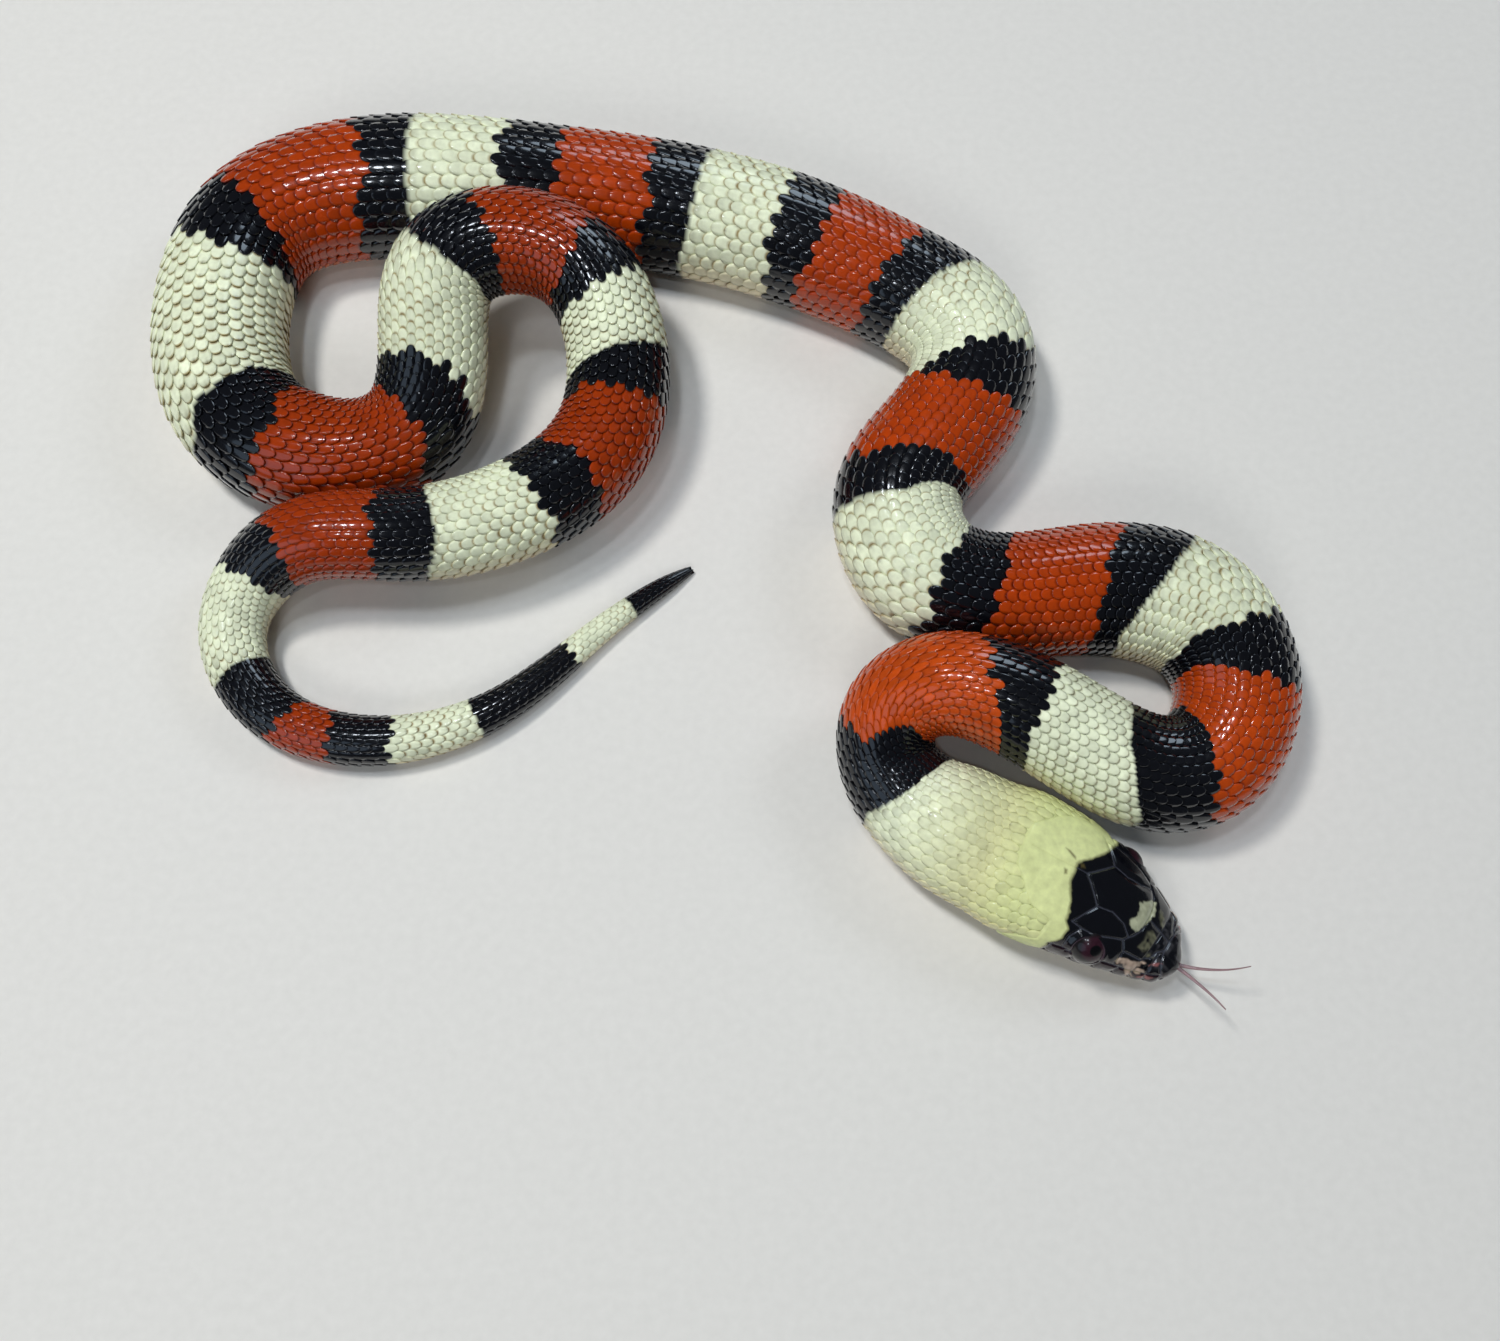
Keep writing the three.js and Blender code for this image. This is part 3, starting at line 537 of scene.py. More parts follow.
def horn_material(name, roughness, matt, bump, on_scales):
    """Horn of a roughness, whose gloss is matter by a share on pale colours, with a fine grain."""
    material, start, shader = new_material(name, Coat_Roughness=0.08, Specular_IOR_Level=0.15)
    colour = start.node("ShaderNodeAttribute", "Color", attribute_name="Markings")
    place = start.node("ShaderNodeTexCoord", "Object")
    mottle = start.node("ShaderNodeTexNoise", 0, {"Vector": place, "Scale": 1100.0, "Detail": 3.0})
    shaded = start.colours(1.0, colour, mottle * 0.5 + 0.75, "MULTIPLY")
    if on_scales:
        shaded = scale_seams(start, shaded)
    plug(shaded, shader, "Base Color")
    paleness = start.node("ShaderNodeRGBToBW", 0, {0: colour})
    plug(mottle * 0.16 + paleness * 0.25 + (roughness - 0.08), shader, "Roughness")
    plug(0.85 - paleness * matt, shader, "Coat Weight")
    grain = start.node("ShaderNodeTexNoise", 0, {"Vector": place, "Scale": 2600.0, "Detail": 2.0})
    raised = start.node("ShaderNodeBump", 0, {"Height": grain, "Strength": bump, "Distance": 0.00004})
    plug(raised, shader, "Normal")
    return material


scale_horn = horn_material("scale_horn", 0.22, 0.7, 0.25, True)
head_horn = horn_material("head_horn", 0.16, 1.1, 0.3, False)

# Skin: one soft skin from the snout to the tip of the tail. On the head it is drawn out into the
# horny plates, with the furrows between them, the lips, the nostrils and the rims of the eyes.
HEAD_END = 21.5
SKIN_END = 484.6
SKIN_SINK = 0.5
MOUTH_CORNER = 18.6
MOUTH_LINE = [
    (1.35, 180), (1.45, 150), (1.8, 128), (2.7, 115), (5, 108), (10, 106), (15, 104),
    (MOUTH_CORNER, 99),
]
LIP_TOP = 79
UPPER_LIP = [1.75, 2.8, 4.3, 6.1, 8.4, 11, 14]
LOWER_LIP = [1.9, 3, 4.5, 6.4, 8.8, 11.5, 14.6]
EYE_PLACE = 10.3
EYE_ANGLE = 70
EYE_RADIUS = 2.1
EYE_SUNK = 1.5
NOSTRIL_PLACE = 3.2
NOSTRIL_ANGLE = 60

# Furrows between the plates of the head as lines of (s, angle) on the right side.
MIDDLE_FURROWS = [
    [(2.5, 0), (6.6, 0)], [(14.5, 0), (17.4, 1), (20.4, 0)], [(3.1, 180), (14, 180)],
]
FURROWS = [
    [(1.6, 104), (1.75, 72), (2.1, 40), (2.4, 16), (2.5, 0)], [(4.3, 0), (4.4, 30), (4.5, 49)],
    [(2.4, 16), (3.2, 26), (3.5, 41), (4.5, 49), (7.2, 50), (8.1, 37), (8.9, 40), (9.9, 44), (11.2, 46),
     (12.4, 45), (13.7, 42), (13.3, 37), (12.8, 29), (12.1, 19)],
    [(6.6, 0), (6.8, 16), (7.3, 26), (7.7, 31), (8.1, 37)],
    [(7.7, 31), (8.9, 21), (10.4, 17), (12.1, 19), (12.9, 11), (13.8, 4), (14.5, 0)],
    [(2.8, 27), (2.8, 79)], [(4.5, 49), (4.3, 79)], [(7.2, 50), (6.9, 79)],
    [(12.4, 45), (13.0, 60), (12.8, 79)], [(12.2, 84), (11.3, 79)],
    [(1.75, 79), (6, 79), (12, 80), (14.3, 81)],
    [(1.9, 144), (8, 137), (14, 130)], [(3, 178), (2.3, 154), (1.6, 146)],
    [(8.2, 137), (8.2, 179)], [(8.2, 137), (13.2, 149), (13.2, 179)],
]


def on_head(s, angle):
    return on_body(np.asarray(s, float), girth_at(s, angle), np.zeros(np.shape(s)))


def drawn(line, spacing=0.12):
    """Points close together along a line of (s, angle)."""
    s, angle = np.array(line, float).T
    corners = on_head(s, angle)
    reach = np.concatenate([[0], np.cumsum(np.linalg.norm(np.diff(corners, axis=0), axis=1))])
    steps = np.linspace(0, reach[-1], max(3, int(reach[-1] / spacing)))
    return on_head(np.interp(steps, reach, s), np.interp(steps, reach, angle))


def distance_to(lines, points):
    """Distance from each point to the nearest of the lines of points."""
    spots = np.concatenate(lines)
    tree = kdtree.KDTree(len(spots))
    for index, spot in enumerate(spots):
        tree.insert(spot, index)
    tree.balance()
    return np.array([tree.find(point)[2] for point in points])


def mirrored(lines):
    return [[(s, side * angle) for s, angle in line] for line in lines for side in (1, -1)]


mouth_places = np.array([1.35, 1.37, 1.4, 1.45, 1.55, 1.65, 1.8, 2.2, 2.7, 3.5, 5, 7, 9, 11, 13, 15, 17,
                         MOUTH_CORNER])
mouth_line = list(zip(mouth_places, profile(MOUTH_LINE, mouth_places)))
lip_furrows = [[(s, LIP_TOP), (s, float(profile(MOUTH_LINE, s)))] for s in UPPER_LIP]
lip_furrows += [[(s, float(profile(MOUTH_LINE, s))), (s, 146 - s * 1.1)] for s in LOWER_LIP]
furrow_points = [drawn(line) for line in MIDDLE_FURROWS + mirrored(FURROWS + lip_furrows)]
mouth_points = [drawn(line) for line in mirrored([mouth_line])]

HEAD_AROUND = 336
HEAD_STEP = 0.102
BODY_AROUND = 48
BODY_STEP = 1.3
SHADE_UNDER_SCALES = 0.3


def girths_round(count):
    """Girth places of the corners of a ring of the skin, which are closest together on the crown."""
    even = (np.arange(count) + 0.5) / count * 2 - 1
    return 0.8 * even + 0.2 * even ** 3


fine_places = np.linspace(SNOUT + 0.02, HEAD_END, 2000)
side_line = on_body(fine_places, np.full(2000, 0.5), np.zeros(2000))
side_reach = np.concatenate([[0], np.cumsum(np.linalg.norm(np.diff(side_line, axis=0), axis=1))])
head_places = np.interp(np.arange(0, side_reach[-1], HEAD_STEP), side_reach, fine_places)
head_s, head_g = [grid.ravel() for grid in np.meshgrid(head_places, girths_round(HEAD_AROUND),
                                                  indexing="ij")]
head_angle = angle_at(head_s, head_g)
head_bare = on_body(head_s, head_g, np.zeros(len(head_s)))
to_furrow = distance_to(furrow_points, head_bare)
to_mouth = distance_to(mouth_points, head_bare)
eye_spots = [on_head(EYE_PLACE, side * EYE_ANGLE) for side in (1, -1)]
nostril_spots = [on_head(NOSTRIL_PLACE, side * NOSTRIL_ANGLE) for side in (1, -1)]
to_eye = np.min([np.linalg.norm(head_bare - spot, axis=1) for spot in eye_spots], axis=0)
to_nostril = np.min([np.linalg.norm(head_bare - spot, axis=1) for spot in nostril_spots], axis=0)

EYE_RIM = np.sqrt(EYE_RADIUS ** 2 - EYE_SUNK ** 2)
PLATE_RISE = 0.04
FURROW_DEPTH = 0.16
SHALLOWER_BEHIND = 0.1
PLATE_ROUNDING = 0.09
MOUTH_DEPTH = 0.5
LIP_ROUNDING = 0.06
NOSTRIL_DEPTH = 0.45
RIM_RISE = 0.1
SOCKET_DEPTH = 1.1
DEEPEST = 1.2
behind = smooth(head_s, 14.5, 16.5)
furrow_depth = FURROW_DEPTH - SHALLOWER_BEHIND * behind
head_rise = PLATE_RISE - furrow_depth * (1 - smooth(to_furrow, 0.03, 0.24))
head_rise -= PLATE_ROUNDING * (1 - smooth(to_furrow, 0.12, 0.8)) * (1 - behind)
head_rise -= MOUTH_DEPTH * (1 - smooth(to_mouth, 0.05, 0.2)) + LIP_ROUNDING * (1 - smooth(to_mouth, 0.2, 0.5))
head_rise -= NOSTRIL_DEPTH * (1 - smooth(to_nostril, 0.12, 0.34))
head_rise += RIM_RISE * np.exp(-((to_eye - EYE_RIM - 0.35) / 0.22) ** 2)
head_rise -= SOCKET_DEPTH * (1 - smooth(to_eye, EYE_RIM - 0.35, EYE_RIM + 0.12))
head_rise = np.maximum(head_rise, -DEEPEST)

# Behind the plates the skin goes down under the first scales of the nape and throat.
NAPE_START = [
    (0, 20.3), (0.1, 20.2), (0.17, 19.2), (0.27, 17.3), (0.32, 14.9), (0.44, 14.9), (0.475, 16.5),
    (0.58, 18.6), (0.64, 17.0), (0.72, 14.2), (1.0, 13.6),
]
SWELL = [(13, 0.3), (20, 0.36), (30, 0.6), (50, 1.0)]
SLENDER = 6.5


def swell_at(s):
    """How far the scales and the skin under them keep their full thickness, 0 to 1."""
    return np.minimum(1, profile(HALF_WIDTH, s) / SLENDER) * profile(SWELL, s)


under_scales = smooth(head_s - profile(NAPE_START, np.abs(head_g)), 0.55, 1.0)
head_rise = head_rise * (1 - under_scales) - SKIN_SINK * swell_at(head_s) * under_scales

# Colours of the head: black plates, a mottled snout, a pale patch on the front lips, a fleck on the
# frontal plate, and the cream nape that begins on the parietal plates. The furrows carry a painted pale
# bluish sheen on the black plates and a tan line on the cream. Low on the sides, the black carries a
# painted dark pink reflection. The mouth slit, nostrils and eye sockets are painted near-black as shade.
SNOUT_GREY = paint(60, 60, 64)
MOTTLE = paint(104, 104, 84)
LIP = paint(178, 158, 142)
LIP_PINK = paint(150, 92, 92)
SIDE_PINK_REFLECTION = paint(30, 12, 20)
THROAT = paint(222, 208, 184)
FLECK = paint(176, 180, 152)
FURROW_SHEEN = paint(68, 71, 82)
FURROW_TAN = paint(190, 192, 128)
PIT_SHADE = paint(6, 6, 8)
EYE_RING = paint(84, 66, 78)
FLECK_SHAPE = [
    (8.6, -2), (6.8, -22), (6.4, -13), (6.3, -4), (6.8, 7), (7.2, 21), (8.0, 23), (8.6, 15), (8.2, 7),
    (8.1, 2),
]
MOTTLE_SHAPES = [
    [(6.0, -19), (5.6, -19), (4.4, -12), (4.2, -4), (5.3, -5), (6.0, -13)],
    [(6.1, 12), (5.6, 8), (4.8, 10), (4.2, 20), (4.4, 32), (5.4, 36), (6.2, 35), (6.0, 24)],
    [(4.7, 34), (3.3, 36), (3.6, 44), (4.7, 42)],
]
LIP_SHAPES = [
    [(7.3, 71), (7.1, 60), (6.4, 57), (5.8, 57), (4.7, 52), (3.5, 51), (3.8, 61), (4.4, 67), (4.7, 72),
     (4.6, 82), (3.8, 92), (4.8, 93), (5.6, 76), (6.3, 67), (6.8, 72)],
    [(4.4, 78), (4.0, 67), (3.3, 67), (3.1, 76), (3.7, 84)],
]
LIP_EDGE_SHAPES = [
    [(3.6, 91), (3.0, 83), (2.2, 86), (2.5, 94)], [(3.2, 57), (2.3, 51), (2.0, 42), (2.3, 42), (2.9, 48)],
]
SPECK_SHAPES = [
    [(17.3, -9), (16.9, -7.5), (16.3, -5), (16.0, -4), (16.1, -6), (16.7, -8.5)],
    [(16.6, 5), (16.4, 9), (16.2, 8), (16.3, 5)], [(15.5, -3), (15.3, -1), (14.9, -2), (15.2, -4)],
]
noise = np.random.default_rng(3).normal(size=(64, 64))


def blotches(s, g, size):
    """Smooth random values over the skin, about -1 to 1, with blotches of a size in mm."""
    across = g * np.interp(s, ROW_PLACES, HALF_GIRTH) / size
    down = s / size
    i = np.floor(down).astype(int)
    j = np.floor(across).astype(int)
    u = smooth(down - i, 0, 1)
    v = smooth(across - j, 0, 1)
    near = noise[i % 64, j % 64] * (1 - v) + noise[i % 64, (j + 1) % 64] * v
    far = noise[(i + 1) % 64, j % 64] * (1 - v) + noise[(i + 1) % 64, (j + 1) % 64] * v
    return near * (1 - u) + far * u


def inside(shapes, s, angle, soft):
    """1 inside closed outlines of (s, angle), 0 outside and a soft step of a width in mm between."""
    found = np.zeros(len(s))
    for shape in shapes:
        corner_s, corner_angle = np.array(shape, float).T
        near = np.nonzero((s > corner_s.min() - 1) & (s < corner_s.max() + 1)
                          & (np.abs(angle - corner_angle.mean()) < 60))[0]
        wide = 0.0155 * profile(HALF_WIDTH, corner_s.mean())
        point = np.stack([s[near], angle[near] * wide], axis=1)
        corners = np.stack([corner_s, corner_angle * wide], axis=1)
        distance = np.full(len(near), 9.0)
        odd = np.zeros(len(near), bool)
        for first, second in zip(corners, np.roll(corners, -1, axis=0)):
            way = second - first
            share = np.clip((point - first) @ way / (way @ way), 0, 1)
            distance = np.minimum(distance, np.linalg.norm(point - first - share[:, None] * way, axis=1))
            crosses = (first[1] > point[:, 1]) != (second[1] > point[:, 1])
            height = np.where(way[1] == 0, 1e-9, way[1])
            odd ^= crosses & (point[:, 0] < first[0] + way[0] * (point[:, 1] - first[1]) / height)
        signed = np.where(odd, distance, -distance)
        found[near] = np.maximum(found[near], smooth(signed, -soft, soft))
    return found


patchy = blotches(head_s, head_g, 0.8)
fine_patchy = blotches(head_s, head_g, 0.35)
warped_s = head_s + 0.07 * fine_patchy + 0.05 * patchy
warped_angle = head_angle + 0.8 * blotches(head_s + 7, head_g, 0.4)
side_angle = np.abs(warped_angle)
count, since, until = ring_at(head_s + 0.04 * fine_patchy, head_angle)
to_nape = np.where(IS_CREAM[count], since, -until)
# Low on the sides the black turns dark purple-red: a painted pink reflection.
black = mixed(np.broadcast_to(BLACK, (len(head_s), 3)), SIDE_PINK_REFLECTION, smooth(np.abs(head_angle), 62, 84))
nape_tone = mixed(np.broadcast_to(NAPE_CREAM, (len(head_s), 3)), OLIVE, 0.1 * smooth(patchy, 0, 2))
head_colour = mixed(black, nape_tone, smooth(to_nape, -0.05, 0.16))
snout = (1 - smooth(head_s, 2.0, 6.5)) * (1 - smooth(np.abs(head_angle), 45, 70))
lip_edge = inside(LIP_EDGE_SHAPES, warped_s, side_angle, 0.14) * 0.8
mottles = inside(MOTTLE_SHAPES, warped_s, warped_angle, 0.2) * (0.65 + 0.35 * fine_patchy)
lip = inside(LIP_SHAPES, warped_s, side_angle, 0.14) * (0.85 + 0.2 * fine_patchy)
fleck = inside([FLECK_SHAPE], warped_s, warped_angle, 0.1) * (0.92 + 0.12 * fine_patchy)
specks = inside(SPECK_SHAPES, head_s, head_angle, 0.12) * 0.8
throat = smooth(np.abs(head_angle) + 6 * patchy, 128, 136)
for tone, share in (
    (OLIVE, 0.55 * np.exp(-((to_nape - 0.14) / 0.13) ** 2)),
    (SNOUT_GREY, snout * (0.3 + 0.5 * fine_patchy)),
    (MOTTLE, mottles), (LIP_PINK, lip_edge), (LIP, lip), (FLECK, fleck), (OLIVE, specks), (THROAT, throat),
):
    head_colour = mixed(head_colour, tone, share)
pale = smooth(head_colour.sum(axis=1), 0.3, 0.9)
# On the black plates the furrows get a painted pale bluish sheen. On cream they are a tan line.
furrow_sheen_and_tan = mixed(np.broadcast_to(FURROW_SHEEN, (len(head_s), 3)), FURROW_TAN, pale)
furrow_share = (1 - smooth(to_furrow, 0.04, 0.15 - 0.03 * smooth(head_s, 4, 9))) * (0.75 - 0.6 * pale)
head_colour = mixed(head_colour, furrow_sheen_and_tan, furrow_share)
# The mouth slit, the nostrils and the eye sockets are painted near-black as shade.
head_colour = mixed(head_colour, PIT_SHADE, 1 - smooth(to_mouth, 0.08, 0.2))
head_colour = mixed(head_colour, PIT_SHADE, 1 - smooth(to_nostril, 0.16, 0.3))
ring = smooth(to_eye, EYE_RIM - 0.1, EYE_RIM + 0.05) * (1 - smooth(to_eye, EYE_RIM + 0.15, EYE_RIM + 0.3))
head_colour = mixed(head_colour, EYE_RING, 0.7 * ring)
head_colour = mixed(head_colour, PIT_SHADE, 1 - smooth(to_eye, EYE_RIM - 0.1, EYE_RIM + 0.02))
# The skin that goes under the first scales is painted a little darker as shade.
head_colour = mixed(head_colour, head_colour * 0.92, under_scales)

body_places = np.arange(HEAD_END + 0.3, SKIN_END, BODY_STEP)
body_s, body_g = [grid.ravel() for grid in np.meshgrid(body_places, girths_round(BODY_AROUND),
                                                  indexing="ij")]
body_skin = on_body(body_s, body_g, -SKIN_SINK * swell_at(body_s))
count, since, until = ring_at(body_s, angle_at(body_s, body_g))
body_colour = RING_COLOURS[count] * SHADE_UNDER_SCALES


def tube_triangles(rings, around, first=0):
    """Triangles between rings of corners that are closed round on themselves."""
    k, j = [grid.ravel() for grid in np.meshgrid(np.arange(rings - 1), np.arange(around), indexing="ij")]
    a = first + k * around + j
    b = first + k * around + (j + 1) % around
    return np.concatenate([np.stack([a, a + around, b], 1), np.stack([b, a + around, b + around], 1)])


head_count = len(head_s)
corners = np.concatenate([on_body(head_s, head_g, head_rise), body_skin])
colours = np.concatenate([head_colour, body_colour])
places = np.stack([np.concatenate([head_s, body_s]), np.concatenate([head_g, body_g])], axis=1)
triangles = [tube_triangles(len(head_places), HEAD_AROUND)]
triangles.append(tube_triangles(len(body_places), BODY_AROUND, head_count))
ratio = HEAD_AROUND // BODY_AROUND
last_ring = head_count - HEAD_AROUND
joint = []
for j in range(BODY_AROUND):
    near = head_count + j
    after = head_count + (j + 1) % BODY_AROUND
    centre = j * ratio + ratio // 2
    fan = [last_ring + (centre + k) % HEAD_AROUND for k in range(ratio + 1)]
    joint += [(fan[k], near, fan[k + 1]) for k in range(ratio)]
    joint.append((fan[-1], near, after))
triangles.append(np.array(joint))
ends = [corners[:HEAD_AROUND].mean(axis=0), corners[-BODY_AROUND:].mean(axis=0)]
tip_corner = len(corners)
corners = np.concatenate([corners, ends])
colours = np.concatenate([colours, [colours[0], colours[-1]]])
places = np.concatenate([places, [[0.0, 0.0], [TAIL_END, 0.0]]])
triangles.append(np.array([(tip_corner, j, (j + 1) % HEAD_AROUND) for j in range(HEAD_AROUND)]))
tail_ring = tip_corner - BODY_AROUND
triangles.append(np.array([(tip_corner + 1, tail_ring + (j + 1) % BODY_AROUND, tail_ring + j)
                           for j in range(BODY_AROUND)]))
triangles = np.concatenate(triangles)
skin_bake = unrolled(places[triangles][..., 0], places[triangles][..., 1])
skin = mesh_piece("skin", corners, triangles, colours, skin_bake, head_horn)
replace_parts(skin, "head", "neck", *[f"body_{k}" for k in range(1, 11)], "tail_base", "tail_tip")

# Scales: thin horny leaves in slanting rows on the back and flanks, each rooted in the skin, slightly
# domed, with a free round tip that lies over the next ones. One leaf is made and laid out in all places.
SCALE_ALONG = 7
SCALE_ACROSS = 4
SCALE_THICK = 0.15
ROOT_RISE = -0.46
TIP_RISE = -0.03
TIP_DROP = 0.03
DOME = 0.03
PATCH = 0.003
TIP_TURN = 160
WIDEST_TURN = 70
LEAST_WIDTH = 0.001
ROOT_WIDTH = 0.35


def leaf_template(along, across, width_at):
    """Corners of a flat closed leaf as along 0 to 1, across -1 to 1 and top 1 or bottom 0."""
    bm = bmesh.new()
    bmesh.ops.create_grid(bm, x_segments=along, y_segments=across, size=1)
    for vertex in bm.verts:
        vertex.co.z = 1
    faces = bmesh.ops.extrude_face_region(bm, geom=bm.faces[:])["geom"]
    under = [item for item in faces if isinstance(item, bmesh.types.BMVert)]
    for vertex in under:
        vertex.co.z = 0
    flat = [item for item in faces if isinstance(item, bmesh.types.BMFace)]
    bmesh.ops.dissolve_faces(bm, faces=flat)
    bmesh.ops.triangulate(bm, faces=bm.faces[:])
    bmesh.ops.recalc_face_normals(bm, faces=bm.faces[:])
    corners = np.array([vertex.co[:] for vertex in bm.verts])
    triangles = np.array([[vertex.index for vertex in face.verts] for face in bm.faces])
    bm.free()
    forward = (corners[:, 0] + 1) / 2
    turn = forward * TIP_TURN
    place = np.where(turn < WIDEST_TURN, turn / WIDEST_TURN * WIDEST,
                     WIDEST + (1 - WIDEST) * np.sin(np.radians(turn - WIDEST_TURN)))
    return place, corners[:, 1] * width_at(place), corners[:, 1], corners[:, 2], triangles


def scale_width(place):
    """Half the width of a scale at a place along it: a narrow root and a round tip."""
    front = ROOT_WIDTH + (1 - ROOT_WIDTH) * np.sin(np.clip(place / WIDEST, 0, 1) * np.pi / 2)
    rear = 1 - np.clip((place - WIDEST) / (1 - WIDEST), 0, 1) ** ROUNDNESS
    return np.where(place < WIDEST, front, np.maximum(rear, LEAST_WIDTH) ** (1 / ROUNDNESS))


def lay_leaves(template, s, g, length, half_span, swell):
    """Corners of leaves at the places s and g, with their own length in mm and half span in girth."""
    place, across, flat_across, top, _ = template
    at_s = s[:, None] + place * length[:, None]
    at_g = g[:, None] + across * half_span[:, None]
    arch = (1 - np.abs(flat_across) ** 2.6) * np.sin(np.pi * (0.15 + 0.75 * place))
    dome = DOME * length[:, None] / OVERLAP * arch
    sink = ROOT_RISE + (TIP_RISE - ROOT_RISE) * place - TIP_DROP * place ** 8
    rise = sink * swell[:, None] + dome - (1 - top) * SCALE_THICK * swell[:, None]
    return on_body(at_s, at_g, rise), at_s, at_g


def leaf_mesh(name, template, laid, colours, rims, root_s, root_g):
    """One joined piece from leaves that are laid out. Each bakes into a patch of its own."""
    place, across, _, _, triangles = template
    count, size = laid.shape[:2]
    every = (triangles[None] + (np.arange(count) * size)[:, None, None]).reshape(-1, 3)
    patch = np.stack([place - 0.5, across * 0.5], axis=-1) * PATCH
    bake = unrolled(root_s, root_g)[:, None] + patch[None]
    bake = bake.reshape(-1, 2)[every]
    piece = mesh_piece(name, laid.reshape(-1, 3), every, colours.reshape(-1, 3), bake, scale_horn)
    back = (place - WIDEST) / (1 - WIDEST)
    for label, values in (("Back", np.tile(back, count)), ("Aside", np.tile(np.abs(across), count)),
                          ("Rim", np.repeat(rims, size))):
        attribute = piece.data.attributes.new(label, "FLOAT", "POINT")
        attribute.data.foreach_set("value", values.astype(np.float32))
    return piece


PITCH = [
    (12, 1.05), (22, 1.1), (40, 1.18), (70, 1.22), (135, 1.22), (155, 1.3), (175, 1.5), (200, 1.72),
    (230, 1.88), (250, 1.88), (275, 1.65), (305, 1.5), (325, 1.37), (360, 1.32), (445, 1.25),
    (470, 1.05), (485, 0.8),
]
ROWS = [
    (0, 23), (45, 21), (90, 19), (250, 19), (285, 19), (305, 20), (335, 19), (350, 18), (405, 17),
    (428, 13), (450, 10), (470, 7), (485, 6),
]
BACK_SHARE = 0.65
FLANK_SPREAD = 0.18
SCUTES_START = 24.0
MOST_ROWS = 16
LAST_TIP = 484
LENGTH_SPREAD = 0.03
WIDTH_SPREAD = 0.01
SWELL_SPREAD = 0.06
random = np.random.default_rng(11)
FINE_STEP = 0.05
fine = np.arange(12, TAIL_END, FINE_STEP)
scale_number = np.concatenate([[0], np.cumsum(FINE_STEP / profile(PITCH, fine[:-1]))])


def row_place(row, s):
    """The girth place of a row of scales, and its step to the next row. Rows widen to the flanks."""
    share = row * 2 / profile(ROWS, s)
    place = BACK_SHARE * (share + FLANK_SPREAD * share ** 3) / (1 + FLANK_SPREAD)
    step = BACK_SHARE * (1 + 3 * FLANK_SPREAD * share ** 2) / (1 + FLANK_SPREAD) * 2 / profile(ROWS, s)
    return place, step


def scale_places():
    """Roots of all scales of the back, flanks and throat, and the row that each is in."""
    roots = []
    for row in range(-MOST_ROWS, MOST_ROWS + 1):
        numbers = np.arange(0, scale_number[-1]) + (0.5 if row % 2 else 0)
        s = np.interp(numbers, scale_number, fine)
        g, _ = row_place(row, s)
        tip = s + profile(PITCH, s)
        shown = (np.abs(g) < BACK_SHARE + 0.02) & (tip < LAST_TIP)
        on_throat = (np.abs(g) < 1.0) & (s < SCUTES_START)
        kept = (shown | on_throat) & (s > profile(NAPE_START, np.abs(g)))
        roots += [(s[k], g[k], row) for k in np.nonzero(kept)[0]]
    return np.array(roots).T


root_s, root_g, row_number = scale_places()
pitch = profile(PITCH, root_s)
_, row_step = row_place(row_number, root_s)
length = pitch * (OVERLAP + LENGTH_SPREAD * random.normal(size=len(root_s)))
half_span = row_step * (HALF_SPAN + WIDTH_SPREAD * random.normal(size=len(root_s)))
swell = swell_at(root_s) * (1 + SWELL_SPREAD * random.normal(size=len(root_s)))
scale_template = leaf_template(SCALE_ALONG, SCALE_ACROSS, scale_width)
laid, laid_s, laid_g = lay_leaves(scale_template, root_s, root_g, length, half_span, swell)


# A scale takes its ring's colour from the middle of what is seen of it, with a little scatter.
SEEN_MIDDLE = 0.66
EDGE_SCATTER = 0.08
CLOUD_SIZE = 7.0
NAPE_TAN = 0.3
FLANK_PINK_BOUNCE = 0.6
TIP_OLIVE = 0.7
BORDER_OLIVE = 0.4


